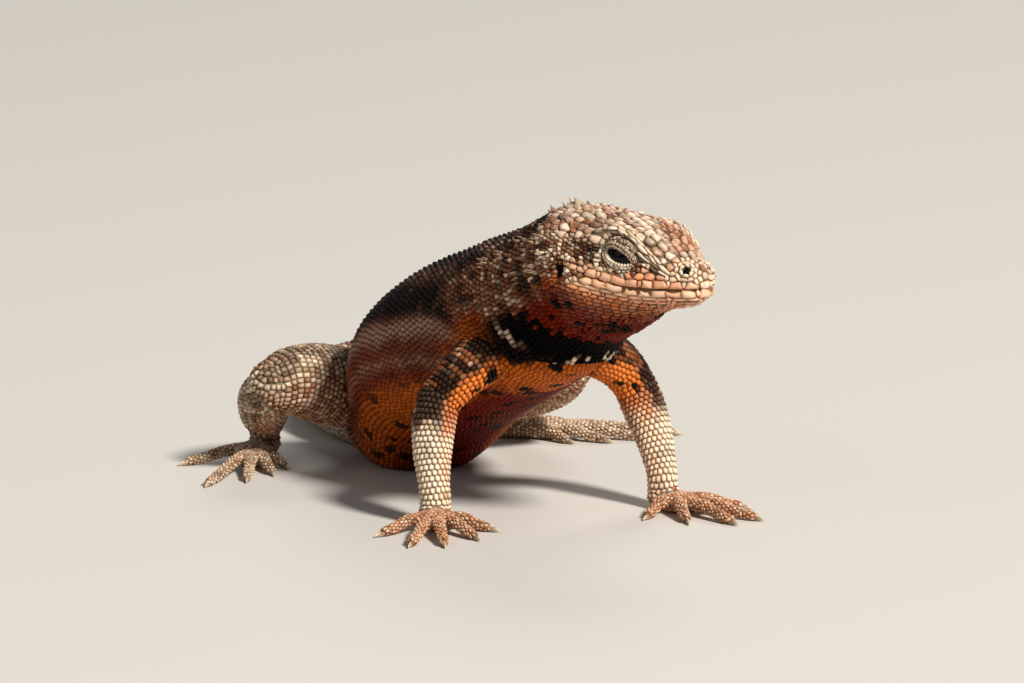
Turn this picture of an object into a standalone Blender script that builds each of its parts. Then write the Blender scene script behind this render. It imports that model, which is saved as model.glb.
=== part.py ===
"""A life-size lava lizard on raised forelegs, looking to its left, with its tail laid behind it.

The body is one long loft of rings from the snout to the tail's tip, parted into nodes by thin gaps.
Legs, hands and feet are lofts that meet it. Lengths are in millimetres until the meshes are made.
X is the animal's left, -Y the way that its chest points, Z up, and the origin is under its pelvis.
"""

import math
import random

import bmesh
import bpy
import numpy as np
from mathutils import Matrix, Vector

MM = 0.001
GAP = 0.3

# Head: its pose, and the stations of its loft by distance behind the snout's tip
SNOUT_TIP = Vector((6.5, -60.05, 27.45))
HEAD_YAW = math.radians(18)
HEAD_PITCH = math.radians(-3)
# distance behind the tip, tilt in degrees, half width, top, bottom, upper and lower roundness
HEAD_STATIONS = [
    (0.0, -3, 1.0, 0.8, 1.0, 2.2, 2.2),
    (0.35, -3, 1.6, 1.35, 1.45, 2.0, 2.2),
    (1.0, -3, 2.2, 1.95, 1.8, 2.0, 2.2),
    (2.2, -3, 2.95, 2.65, 2.15, 2.0, 2.2),
    (3.8, -3, 3.65, 3.45, 2.55, 2.1, 2.2),
    (5.4, -2, 4.4, 4.5, 3.0, 2.5, 2.2),
    (7.8, 0, 5.4, 5.4, 4.15, 2.7, 2.0),
    (10.6, 8, 6.4, 5.7, 5.7, 2.6, 1.9),
    (13.4, 17, 7.1, 5.85, 7.0, 2.4, 1.9),
    (16.0, 23, 7.3, 6.2, 8.2, 2.3, 1.9),
]

# Neck and trunk: centre, tilt in degrees, half width, top, bottom, upper and lower roundness
TRUNK_STATIONS = [
    ((1.1, -41.6, 27.1), 25, 7.3, 6.3, 9.0, 2.2, 2.0),
    ((0.4, -38.0, 24.8), 25, 7.8, 6.9, 9.3, 2.2, 2.0),
    ((0.0, -33.4, 22.3), 22, 8.8, 7.95, 9.1, 2.2, 2.1),
    ((0.0, -27.0, 19.8), 20, 10.2, 8.45, 8.9, 2.1, 2.2),
    ((0.0, -19.0, 16.6), 23, 11.6, 8.9, 8.8, 2.1, 2.2),
    ((0.0, -10.5, 12.0), 28, 11.4, 8.9, 8.0, 2.1, 2.2),
    ((0.0, -3.0, 7.5), 22, 8.5, 5.7, 8.7, 2.1, 2.4),
    ((0.0, 3.5, 5.2), 10, 6.2, 4.2, 5.9, 2.1, 2.3),
]

# Tail: from the vent, laid on the floor in a bend towards the animal's left
TAIL_START = (0.0, 8.5)
TAIL_LENGTH = 128.0
TAIL_ROOT_RADIUS = 4.0
TAIL_TIP_RADIUS = 0.45
TAIL_TAPER = 1.25
TAIL_BEND = math.radians(52)
TAIL_RETURN = math.radians(24)
TAIL_STATIONS = 22

# Where the long loft is parted, as station numbers, and each node's ring spacing and sides
NECK_FROM = len(HEAD_STATIONS) - 0.75
TORSO_FROM = len(HEAD_STATIONS) + 1.2
TAIL_FROM = len(HEAD_STATIONS) + len(TRUNK_STATIONS) - 0.6
BODY_NODES = [
    ("head", 0.0, NECK_FROM, 0.85, 36),
    ("neck", NECK_FROM, TORSO_FROM, 1.2, 30),
    ("torso", TORSO_FROM, TAIL_FROM, 2.0, 26),
    ("tail_base", TAIL_FROM, TAIL_FROM + 7, 2.5, 18),
    ("tail_middle", TAIL_FROM + 7, TAIL_FROM + 14.5, 2.8, 14),
    ("tail_tip", TAIL_FROM + 14.5, None, 3.2, 10),
]

# Face, in the head's own frame: behind the tip, to the side, above the axis
EYE_PLACE = (8.5, 3.2, 2.2)
EYE_RADIUS = 1.98
LID_RADIUS = 2.6
EYE_OPENING = (1.75, 0.85, 2.0)
EYE_OPENING_TILT = math.radians(-17)
EYE_FACING = (0.2, 1.0, 0.16)
# the brow's ridge, as behind the tip and the angle above the side, and how far it stands out
BROW_SIZE = [(1.4, 0), (3.2, 0.2), (5.0, 0.45), (6.8, 0.8), (9.6, 0.75), (11.4, 0.35), (13, 0)]
BROW = [(1.6, 18), (3.2, 29), (4.4, 34), (5.3, 38), (6.7, 45), (8.6, 52), (9.7, 49), (10.6, 42), (11.6, 34)]
NOSTRIL_PLACE = (1.5, 2.1, 1.65)
NOSTRIL_RADIUS = 0.45
EAR_PLACE = (14.3, 7.4, 0.2)
EAR_SIZE = (0.85, 0.8, 1.25)
# the mouth's line, as behind the tip and above the axis, and its corner
MOUTH = [(0, -0.28), (1.9, -0.38), (4.1, -0.58), (6.2, -0.64), (7.7, -0.44), (9.3, -0.24), (10.9, 0.0)]
MOUTH_CORNER = 10.8
MOUTH_WIDTH = 0.42
MOUTH_DEPTH = 0.75

# Spines of the crest: height and spacing from the nape to the tail's root
CREST_FROM = len(HEAD_STATIONS) - 1.6
CREST_HEIGHTS = [1.0, 1.9, 1.6, 1.1, 0.95, 0.9, 0.85, 0.8, 0.75, 0.7]
CREST_SPACING = 1.25
NECK_SPINES = 11

# Limbs: points down each limb with a radius at each
RIGHT_ARM = {
    "upper": [((-2.5, -34.6, 18.8), 3.1), ((-6.6, -35.0, 17.5), 2.8), ((-10.0, -35.4, 15.6), 2.4),
              ((-12.3, -35.2, 13.4), 2.15)],
    "lower": [((-12.4, -35.0, 13.6), 2.1), ((-13.3, -35.5, 10.9), 2.2), ((-13.9, -36.3, 7.7), 1.95),
              ((-14.1, -37.1, 4.6), 1.55), ((-14.1, -37.4, 3.0), 1.5)],
}
LEFT_ARM = {
    "upper": [((2.5, -34.6, 18.8), 3.1), ((6.0, -35.2, 17.4), 2.9), ((9.0, -35.3, 15.4), 2.45),
              ((10.9, -35.2, 13.2), 2.2)],
    "lower": [((10.9, -35.1, 13.4), 2.15), ((11.7, -35.9, 10.8), 2.25), ((12.2, -37.4, 7.7), 1.95),
              ((12.4, -38.7, 4.6), 1.55), ((12.4, -39.2, 3.0), 1.5)],
}
RIGHT_LEG = {
    "upper": [((-2.0, 1.2, 7.0), 4.0), ((-6.5, 0.4, 8.4), 4.3), ((-11.6, -1.0, 9.8), 4.3),
              ((-15.5, -2.0, 10.4), 3.7), ((-17.7, -2.4, 10.3), 2.8)],
    "lower": [((-17.5, -2.0, 9.6), 2.7), ((-17.1, 1.2, 8.0), 2.9), ((-15.7, 4.8, 5.9), 2.6),
              ((-14.2, 7.8, 4.1), 1.9), ((-13.7, 9.2, 3.1), 1.6)],
}
LEFT_LEG = {
    "upper": [((2.0, 1.2, 7.0), 4.0), ((6.5, 0.2, 8.4), 4.3), ((12.0, -2.2, 9.8), 4.2),
              ((15.9, -4.0, 10.3), 3.6), ((18.1, -4.9, 10.1), 2.8)],
    "lower": [((17.9, -4.4, 9.4), 2.7), ((18.2, -1.0, 7.8), 2.9), ((17.3, 3.2, 5.8), 2.6),
              ((16.1, 6.7, 4.0), 1.9), ((15.6, 8.3, 3.1), 1.6)],
}

# Hands and feet: heading, palm length, half width and height, and digits as (turn, root share, length)
HAND_PALM = (4.6, 2.25, 1.15)
FOOT_SOLE = (8.0, 2.2, 1.35)
HAND_DIGITS = [(64, 0.45, 4.4), (30, 0.8, 6.3), (5, 1.0, 8.4), (-14, 0.95, 8.6), (-47, 0.6, 5.6)]
FOOT_DIGITS = [(44, 0.55, 4.2), (26, 0.8, 6.6), (10, 1.0, 9.4), (-6, 1.0, 12.8), (-52, 0.3, 7.0)]
RIGHT_HAND_HEADING = math.radians(205)
LEFT_HAND_HEADING = math.radians(167)
RIGHT_FOOT_HEADING = math.radians(217)
LEFT_FOOT_HEADING = math.radians(118)
DIGIT_RADIUS = 0.72
CLAW_LENGTH = 1.5
CLAW_RADIUS = 0.42

COLOURS = {
    "head": (0.42, 0.29, 0.19), "neck": (0.24, 0.12, 0.08), "torso": (0.16, 0.10, 0.08),
    "tail": (0.30, 0.26, 0.22), "leg": (0.34, 0.29, 0.25), "hand": (0.45, 0.39, 0.33),
    "eye": (0.02, 0.015, 0.012),
}


def clear_scene():
    for obj in list(bpy.data.objects):
        bpy.data.objects.remove(obj)


def material(kind):
    found = bpy.data.materials.get(kind)
    if found:
        return found
    made = bpy.data.materials.new(kind)
    made.use_nodes = True
    shader = made.node_tree.nodes["Principled BSDF"]
    shader.inputs["Base Color"].default_value = (*COLOURS[kind], 1)
    shader.inputs["Roughness"].default_value = 0.12 if kind == "eye" else 0.6
    shader.inputs["Metallic"].default_value = 0.0
    return made


def smooth_rows(rows, at):
    """The row at a fractional place in a table, on a Catmull-Rom curve through its rows."""
    rows = np.asarray(rows, float)
    at = min(max(at, 0.0), len(rows) - 1.0)
    i = min(int(at), len(rows) - 2)
    t = at - i
    p1, p2 = rows[i], rows[i + 1]
    p0 = rows[i - 1] if i > 0 else 2 * p1 - p2
    p3 = rows[i + 2] if i + 2 < len(rows) else 2 * p2 - p1
    return 0.5 * (2 * p1 + (p2 - p0) * t + (2 * p0 - 5 * p1 + 4 * p2 - p3) * t * t
                  + (3 * p1 - p0 - 3 * p2 + p3) * t ** 3)


def forward_of(yaw, tilt):
    return Vector((math.sin(yaw) * math.cos(tilt), -math.cos(yaw) * math.cos(tilt), math.sin(tilt)))


def head_point(behind, aside=0.0, above=0.0):
    """A point given in the head's own frame, in the model's."""
    forward = forward_of(HEAD_YAW, HEAD_PITCH)
    left = Vector((math.cos(HEAD_YAW), math.sin(HEAD_YAW), 0))
    return SNOUT_TIP - forward * behind + left * aside + forward.cross(left) * above


def tail_rows():
    """The tail's stations, from the vent to the tip."""
    rows = []
    x, y = TAIL_START
    step = TAIL_LENGTH / (TAIL_STATIONS - 1)
    for k in range(TAIL_STATIONS):
        share = k / (TAIL_STATIONS - 1)
        turn = TAIL_BEND * math.sin(min(1.0, 1.75 * share) * math.pi / 2)
        turn -= TAIL_RETURN * max(0.0, (share - 0.45) / 0.55) ** 1.3
        radius = TAIL_TIP_RADIUS + (TAIL_ROOT_RADIUS - TAIL_TIP_RADIUS) * (1 - share) ** TAIL_TAPER
        rows.append([x, y, 0.97 * radius, -turn, 0.0, 1.06 * radius, radius, radius, 2.0, 2.0])
        x += step * math.sin(turn)
        y += step * math.cos(turn)
    return rows


def body_rows():
    """Every station of the long loft: x, y, z, yaw, tilt, half width, top, bottom, two roundnesses."""
    rows = []
    for behind, tilt, wide, top, bottom, upper, lower in HEAD_STATIONS:
        centre = head_point(behind)
        rows.append([*centre, HEAD_YAW, math.radians(tilt), wide, top, bottom, upper, lower])
    yaws = [0.62 * HEAD_YAW, 0.28 * HEAD_YAW, 0.06 * HEAD_YAW] + [0.0] * len(TRUNK_STATIONS)
    for (centre, tilt, wide, top, bottom, upper, lower), yaw in zip(TRUNK_STATIONS, yaws):
        rows.append([*centre, yaw, math.radians(tilt), wide, top, bottom, upper, lower])
    return rows + tail_rows()


def bump(value, centre, spread):
    return math.exp(-(((value - centre) / spread) ** 2))


def along_line(line, behind):
    """The second number of a line of pairs, at a distance behind the tip."""
    return float(np.interp(behind, [spot[0] for spot in line], [spot[1] for spot in line]))


def head_relief(behind, turn):
    """How far the face stands out at a distance behind the tip and an angle above the side, in degrees."""
    side = turn if turn <= 90 else 180 - turn
    ridge = along_line(BROW, behind)
    size = along_line(BROW_SIZE, behind)
    brow = size * (bump(side, ridge, 9) - 0.6 * bump(side, ridge - 18, 9))
    forehead = -0.35 * bump(behind, 6.4, 2.4) * bump(side, 90, 24)
    bulge = 0.4 * bump(behind, 5.6, 1.5) * bump(side, 68, 12)
    temple = -0.4 * bump(behind, 12.2, 1.3) * bump(side, 28, 12)
    jaw = 0.4 * bump(behind, 13.4, 2.4) * bump(side, -8, 22)
    lips = 0.2 * bump(side, -6, 11) * bump(behind, 5.0, 5.0)
    loreal = -0.3 * bump(behind, 3.8, 1.3) * bump(side, 14, 9)
    nostril = 0.3 * bump(behind, 1.5, 0.8) * bump(side, 34, 14)
    return brow + forehead + bulge + temple + jaw + lips + loreal + nostril


def rounded(angle, power):
    c, s = math.cos(angle), math.sin(angle)
    return (math.copysign(abs(c) ** (2 / power), c), math.copysign(abs(s) ** (2 / power), s))


def body_ring(row, sides, grow=0.0, behind=None):
    """One ring of the long loft, pressed flat where it would pass the floor."""
    centre, (yaw, tilt) = Vector(row[:3]), row[3:5]
    wide, top, bottom, upper, lower = row[5:]
    forward = forward_of(yaw, tilt)
    left = Vector((math.cos(yaw), math.sin(yaw), 0))
    up = forward.cross(left)
    ring = []
    for k in range(sides):
        angle = 2 * math.pi * (k + 0.5) / sides
        high = angle < math.pi
        c, s = rounded(angle, upper if high else lower)
        out = left * (c * wide) + up * (s * (top if high else bottom))
        stand = grow
        if behind is not None:
            turn = math.degrees(angle) if angle < 1.5 * math.pi else math.degrees(angle) - 360
            stand += head_relief(behind, turn)
        point = centre + out + out.normalized() * stand
        point.z = max(point.z, -grow)
        ring.append(point)
    return ring


def placed(name, bm, kind):
    """A smooth object in the lizard's own collection, made from a bmesh."""
    mesh = bpy.data.meshes.new(name)
    bm.to_mesh(mesh)
    bm.free()
    mesh.materials.append(material(kind))
    mesh.shade_smooth()
    obj = bpy.data.objects.new(name, mesh)
    lizard_collection().objects.link(obj)
    return obj


def lizard_collection():
    found = bpy.data.collections.get("lava_lizard")
    if not found:
        found = bpy.data.collections.new("lava_lizard")
        bpy.context.scene.collection.children.link(found)
    return found


def loft(name, rings, kind):
    """A closed body through rings of equal count, with flat ends."""
    bm = bmesh.new()
    made = [[bm.verts.new(point * MM) for point in ring] for ring in rings]
    count = len(made[0])
    for near, far in zip(made, made[1:]):
        for k in range(count):
            n = (k + 1) % count
            bm.faces.new((near[k], far[k], far[n], near[n]))
    bm.faces.new(made[0])
    bm.faces.new(list(reversed(made[-1])))
    bmesh.ops.recalc_face_normals(bm, faces=bm.faces)
    return placed(name, bm, kind)


def places_along(rows, start, end, spacing):
    """Fractional stations about evenly spaced along the loft's centre line."""
    fine = np.linspace(start, end, 200)
    points = np.array([smooth_rows(rows, at)[:3] for at in fine])
    steps = np.linalg.norm(np.diff(points, axis=0), axis=1)
    run = np.concatenate([[0], np.cumsum(steps)])
    count = max(2, round(run[-1] / spacing) + 1)
    return np.interp(np.linspace(0, run[-1], count), run, fine)


def station_step(rows, at, length):
    """The change in station that moves the loft's centre by a length there."""
    here, there = smooth_rows(rows, at)[:3], smooth_rows(rows, at + 0.01)[:3]
    return 0.01 * length / max(1e-6, float(np.linalg.norm(there - here)))


def behind_tip(row):
    """How far behind the snout's tip a row of the head or neck lies."""
    return (SNOUT_TIP - Vector(row[:3])).dot(forward_of(HEAD_YAW, HEAD_PITCH))


def past_gap(rows, start, sides):
    """The first station at which every point of a ring is the gap away from the ring at start."""
    cut = body_ring(smooth_rows(rows, start), sides)
    step = station_step(rows, start, GAP)
    for more in np.arange(1.0, 4.0, 0.1):
        ring = body_ring(smooth_rows(rows, start + step * more), sides)
        if min((a - b).length for a, b in zip(cut, ring)) >= GAP:
            return start + step * more
    return start + step * 4


def body_node(name, rows, start, end, spacing, sides):
    last = len(rows) - 1.0
    first_cut = start if name == "head" else past_gap(rows, start, sides)
    rings = []
    for at in places_along(rows, first_cut, last if end is None else end, spacing):
        row = smooth_rows(rows, at)
        on_face = name in ("head", "neck")
        rings.append(body_ring(row, sides, behind=behind_tip(row) if on_face else None))
    if end is None:
        tip = sum(rings[-1], Vector()) / sides
        rings.append([tip + (point - tip) * 0.4 + (tip - rings[-3][0]).normalized() * 0.5
                      for point in rings[-1]])
        for point in rings[-1]:
            point.z = max(point.z, 0.05)
    if name == "head":
        rings.insert(0, nose_ring(rings[0]))
    return loft(name, rings, "tail" if name.startswith("tail") else name)


def nose_ring(first):
    """A smaller ring just ahead of the first, that rounds the snout's tip."""
    centre = sum(first, Vector()) / len(first)
    ahead = forward_of(HEAD_YAW, HEAD_PITCH) * 0.28
    return [centre + (point - centre) * 0.62 + ahead for point in first]


def limb_loft(name, points, kind, sides, flat=1.0, rings_each=3, round_ends=True):
    """A tube through points with radii, wider than deep where flat is under 1."""
    table = [[*place, radius] for place, radius in points]
    count = (len(table) - 1) * rings_each + 1
    rows = [smooth_rows(table, at) for at in np.linspace(0, len(table) - 1, count)]
    if round_ends:
        rows = rounded_end(rows[::-1])[::-1]
        rows = rounded_end(rows)
    rings = []
    for k, row in enumerate(rows):
        before, after = rows[max(0, k - 1)], rows[min(len(rows) - 1, k + 1)]
        along = Vector(after[:3] - before[:3]).normalized()
        upright = Vector((0, 0, 1)) if abs(along.z) < 0.8 else Vector((0, -1, 0))
        side = along.cross(upright).normalized()
        other = side.cross(along)
        ring = []
        for j in range(sides):
            angle = 2 * math.pi * j / sides
            spot = Vector(row[:3]) + side * (math.cos(angle) * row[3])
            spot += other * (math.sin(angle) * row[3] * flat)
            spot.z = max(spot.z, 0.0)
            ring.append(spot)
        rings.append(ring)
    return loft(name, rings, kind)


def rounded_end(rows):
    """The rows with two more past the last, which close the tube like a fingertip."""
    last = rows[-1]
    along = rows[-1][:3] - rows[-2][:3]
    along = along / np.linalg.norm(along)
    radius = last[3]
    more = [[*(last[:3] + along * radius * 0.5), radius * 0.85],
            [*(last[:3] + along * radius * 0.85), radius * 0.45]]
    return list(rows) + [np.array(row) for row in more]


def sphere(name, centre, size, kind, turn=None, rings=10, segments=16):
    """A closed ball, or with three sizes an ellipsoid along the head's own axes."""
    bm = bmesh.new()
    bmesh.ops.create_uvsphere(bm, u_segments=segments, v_segments=rings, radius=1)
    sizes = Matrix.Diagonal((*size, 1))
    place = Matrix.Translation(centre * MM) @ (turn or Matrix.Identity(4)) @ Matrix.Scale(MM, 4) @ sizes
    bmesh.ops.transform(bm, matrix=place, verts=bm.verts)
    return placed(name, bm, kind)


def spine(centre, direction, height, length, width, along):
    """A small pointed scale with a sunk root, leaning the way that direction points."""
    bm = bmesh.new()
    bmesh.ops.create_cone(bm, cap_ends=True, segments=5, radius1=0.5, radius2=0, depth=1)
    up = direction.normalized()
    side = along.cross(up).normalized()
    turn = Matrix((side, up.cross(side), up)).transposed().to_4x4()
    sunk = height + 0.6
    size = Matrix.Diagonal((width, length, sunk, 1))
    middle = centre + up * (height / 2 - 0.3)
    place = Matrix.Translation(middle * MM) @ turn @ Matrix.Scale(MM, 4) @ size
    bmesh.ops.transform(bm, matrix=place, verts=bm.verts)
    bmesh.ops.recalc_face_normals(bm, faces=bm.faces)
    return placed("spine", bm, "neck")


def combine(target, pieces, operation, solver="MANIFOLD"):
    """One Boolean of a node with a collection of closed pieces, which are then removed."""
    group = bpy.data.collections.new("pieces")
    bpy.context.scene.collection.children.link(group)
    for piece in pieces:
        for owner in list(piece.users_collection):
            owner.objects.unlink(piece)
        group.objects.link(piece)
        piece.hide_render = True
        piece.display_type = "WIRE"
    modifier = target.modifiers.new("combine", "BOOLEAN")
    modifier.operation = operation
    modifier.operand_type = "COLLECTION"
    modifier.collection = group
    modifier.solver = solver
    graph = bpy.context.evaluated_depsgraph_get()
    made = bpy.data.meshes.new_from_object(target.evaluated_get(graph))
    target.modifiers.clear()
    target.data = made
    for piece in pieces:
        bpy.data.objects.remove(piece)
    bpy.data.collections.remove(group)
    keep_largest(target)


def keep_largest(obj):
    """Drops every loose scrap but the largest closed surface."""
    bm = bmesh.new()
    bm.from_mesh(obj.data)
    bmesh.ops.remove_doubles(bm, verts=bm.verts, dist=0.0000002)
    seen, islands = set(), []
    for face in bm.faces:
        if face in seen:
            continue
        island, queue = [], [face]
        seen.add(face)
        while queue:
            here = queue.pop()
            island.append(here)
            for edge in here.edges:
                for other in edge.link_faces:
                    if other not in seen:
                        seen.add(other)
                        queue.append(other)
        islands.append(island)
    islands.sort(key=lambda island: sum(face.calc_area() for face in island))
    scraps = [face for island in islands[:-1] for face in island]
    bmesh.ops.delete(bm, geom=scraps, context="FACES")
    bmesh.ops.triangulate(bm, faces=bm.faces)
    bm.to_mesh(obj.data)
    bm.free()


def head_turn():
    """The rotation from the head's own axes (back, right, up) to the model's."""
    forward = forward_of(HEAD_YAW, HEAD_PITCH)
    left = Vector((math.cos(HEAD_YAW), math.sin(HEAD_YAW), 0))
    return Matrix((-forward, -left, forward.cross(left))).transposed()


def eye_opening(side):
    """The almond that is cut through the lids, leaning down towards the snout."""
    behind, aside, above = EYE_PLACE
    facing = Vector((-EYE_FACING[0], -side * EYE_FACING[1], EYE_FACING[2])).normalized()
    tilt = EYE_OPENING_TILT
    length = Vector((math.cos(tilt), 0, -math.sin(tilt)))
    length = (length - facing * length.dot(facing)).normalized()
    upright = facing.cross(length)
    turn = (head_turn() @ Matrix((length, upright, facing)).transposed()).to_4x4()
    centre = head_point(behind, side * aside, above) + (head_turn() @ facing) * LID_RADIUS
    return sphere("opening", centre, EYE_OPENING, "eye", turn=turn, rings=8, segments=14)


def mouth_groove():
    """A thin bar that follows the lips from one corner of the mouth round the snout to the other."""
    rows = body_rows()
    outline = []
    for side in (1, -1):
        half = []
        for behind in np.linspace(0.15, MOUTH_CORNER, 12):
            at = float(np.interp(behind, [row[0] for row in HEAD_STATIONS], range(len(HEAD_STATIONS))))
            row = smooth_rows(rows, at)
            wide = row[5] * math.sqrt(max(0.0, 1 - (along_line(MOUTH, behind) / row[7]) ** 2))
            wide += head_relief(behind, -6)
            half.append((behind, side * wide))
        outline += half[::-1] if side == 1 else [(-0.28, 0.0)] + half
    rings = []
    for k, (behind, aside) in enumerate(outline):
        before, after = outline[max(0, k - 1)], outline[min(len(outline) - 1, k + 1)]
        along = Vector((after[0] - before[0], after[1] - before[1])).normalized()
        out = Vector((along.y, -along.x))
        if out.dot(Vector((behind - 7.0, aside))) < 0:
            out = -out
        share = min(1.0, (MOUTH_CORNER - behind) / 2.0)
        inner = MOUTH_DEPTH * (0.35 + 0.65 * share)
        ring = []
        for reach, above in ((-inner, -0.5), (1.2, -0.5), (1.2, 0.5), (-inner, 0.5)):
            ring.append(head_point(behind + out.x * reach, aside + out.y * reach,
                                   along_line(MOUTH, behind) + above * MOUTH_WIDTH))
        rings.append(ring)
    return loft("mouth", rings, "head")


def make_face(head):
    """Lids, eye sockets, nostrils, ears and the line of the mouth."""
    turn = head_turn().to_4x4()
    lids, cuts = [], [mouth_groove()]
    for side in (1, -1):
        eye = head_point(EYE_PLACE[0], side * EYE_PLACE[1], EYE_PLACE[2])
        lids.append(sphere("lid", eye, (LID_RADIUS,) * 3, "head", rings=12, segments=18))
        cuts.append(sphere("socket", eye, (EYE_RADIUS + GAP,) * 3, "head", rings=10, segments=16))
        cuts.append(eye_opening(side))
        hole = head_point(NOSTRIL_PLACE[0], side * NOSTRIL_PLACE[1], NOSTRIL_PLACE[2])
        cuts.append(sphere("nostril", hole, (NOSTRIL_RADIUS,) * 3, "head", rings=6, segments=10))
        ear = head_point(EAR_PLACE[0], side * EAR_PLACE[1], EAR_PLACE[2])
        cuts.append(sphere("ear", ear, EAR_SIZE, "head", turn=turn, rings=8, segments=12))
    combine(head, lids, "UNION")
    combine(head, cuts, "DIFFERENCE", solver="EXACT")
    for side, name in ((1, "eye_left"), (-1, "eye_right")):
        eye = head_point(EYE_PLACE[0], side * EYE_PLACE[1], EYE_PLACE[2])
        sphere(name, eye, (EYE_RADIUS,) * 3, "eye", rings=10, segments=16)


def crest_spines(rows):
    """Spines down the middle of the back as (node, object), tall on the nape and low at the tail."""
    found = {"head": [], "neck": [], "torso": [], "tail_base": []}
    places = places_along(rows, CREST_FROM, TAIL_FROM + 3, CREST_SPACING)
    limits = [(name, start, end) for name, start, end, _, _ in BODY_NODES if name in found]
    for k, at in enumerate(places):
        share = k / (len(places) - 1)
        height = np.interp(share * (len(CREST_HEIGHTS) - 1), range(len(CREST_HEIGHTS)), CREST_HEIGHTS)
        row = smooth_rows(rows, at)
        forward = forward_of(row[3], row[4])
        up = forward.cross(Vector((math.cos(row[3]), math.sin(row[3]), 0)))
        top = Vector(row[:3]) + up * row[6]
        margin = station_step(rows, at, 1.1)
        for name, start, end in limits:
            if start + margin < at < end - margin:
                lean = up - forward * 0.75
                found[name].append(spine(top, lean, height, 1.25, 0.75, forward))
    return found


def side_spines(rows):
    """Short spiny scales behind the ear and on the side of the neck."""
    rng = random.Random(7)
    pieces = []
    for side in (1, -1):
        for k in range(NECK_SPINES):
            at = NECK_FROM + 0.62 + 0.22 * (k % 4) + rng.uniform(0, 0.08)
            angle = math.radians(-16 + 15 * (k // 4) + rng.uniform(-4, 4))
            row = smooth_rows(rows, at)
            forward = forward_of(row[3], row[4])
            left = Vector((math.cos(row[3]), math.sin(row[3]), 0)) * side
            up = forward.cross(Vector((math.cos(row[3]), math.sin(row[3]), 0)))
            out = left * math.cos(angle) + up * math.sin(angle)
            reach = left * (math.cos(angle) * row[5]) + up * (math.sin(angle) * row[6])
            root = Vector(row[:3]) + reach
            pieces.append(spine(root, out * 0.8 - forward * 0.9, rng.uniform(1.0, 1.5), 0.8, 0.7, forward))
    return pieces


def digit(root, heading, length, rise):
    """A toe laid on the floor with raised knuckles, and the claw at its end."""
    ahead = Vector((math.sin(heading), math.cos(heading), 0))
    start, stretch = root - ahead * 1.2, length + 1.2
    heights = [rise, rise + 0.15, 1.25, 0.78, 0.42]
    radii = [1.0, 0.95, 0.88, 0.8, 0.68]
    points = []
    for k, (height, radius) in enumerate(zip(heights, radii)):
        place = start + ahead * (stretch * k / (len(heights) - 1))
        points.append(((place.x, place.y, height), DIGIT_RADIUS * radius))
    toe = limb_loft("toe", points, "hand", 6, rings_each=1)
    tip = start + ahead * (stretch + 0.1)
    claw_points = []
    for k in range(4):
        share = k / 3
        place = tip + ahead * (CLAW_LENGTH * share)
        height = 0.55 + 0.3 * math.sin(share * math.pi) - 0.3 * share
        claw_points.append(((place.x, place.y, height), CLAW_RADIUS * (1 - 0.8 * share)))
    claw = limb_loft("claw", claw_points, "hand", 5, rings_each=1, round_ends=False)
    return [toe, claw]


def paw(name, ankle, radius, heading, palm, digits, mirror):
    """A hand or foot: a flat palm on the floor under the limb's end, five digits and their claws."""
    length, wide, high = palm
    ahead = Vector((math.sin(heading), math.cos(heading), 0))
    aside = Vector((ahead.y, -ahead.x, 0)) * mirror
    floor = Vector((ankle[0], ankle[1], 0)) - ahead * 0.6
    points = []
    for share, width in ((0.0, 0.72), (0.35, 0.85), (0.75, 1.0), (1.0, 0.85)):
        place = floor + ahead * (length * share)
        points.append(((place.x, place.y, 0.92 * high - 0.1 * share), wide * width))
    sole = limb_loft(name, points, "hand", 12, flat=high / wide, rings_each=2)
    top = Vector(ankle)
    stub = limb_loft("ankle", [((top.x, top.y, top.z - GAP), radius), ((top.x, top.y, high), radius * 1.05),
                               ((top.x, top.y, 0.45 * high), radius * 0.9)],
                     "hand", 10, rings_each=1, round_ends=False)
    pieces = [stub]
    for turn, share, reach in digits:
        spread = math.radians(turn) * mirror
        root = floor + ahead * (length * (0.35 + 0.65 * share))
        root += aside * (wide * 0.85 * math.sin(math.radians(turn)))
        pieces += digit(root, heading + spread, reach, 0.95 * high)
    combine(sole, pieces, "UNION")
    return sole


def block_under(place):
    """A block whose top is level with the wrist or ankle, to cut the limb off flat."""
    size = 20.0
    bm = bmesh.new()
    bmesh.ops.create_cube(bm, size=size * MM)
    middle = Vector((place[0], place[1], place[2] - size / 2))
    bmesh.ops.translate(bm, vec=middle * MM, verts=bm.verts)
    return placed("block", bm, "leg")


def leg(name, limb, rows):
    """A limb of two lengths joined at the elbow or knee, cut clear of the body and level at its end."""
    upper = limb_loft(name, limb["upper"], "leg", 14, rings_each=2)
    lower = limb_loft("lower", limb["lower"], "leg", 12, rings_each=2)
    combine(upper, [lower], "UNION")
    combine(upper, [block_under(limb["lower"][-1][0])], "DIFFERENCE")
    combine(upper, [body_clearance(rows)], "DIFFERENCE")


def body_clearance(rows):
    """The trunk grown by the gap, as a cutter for the roots of the limbs."""
    places = places_along(rows, NECK_FROM, TAIL_FROM + 5, 1.6)
    rings = [body_ring(smooth_rows(rows, at), 32, grow=GAP + 0.12) for at in places]
    return loft("clearance", rings, "leg")


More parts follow.
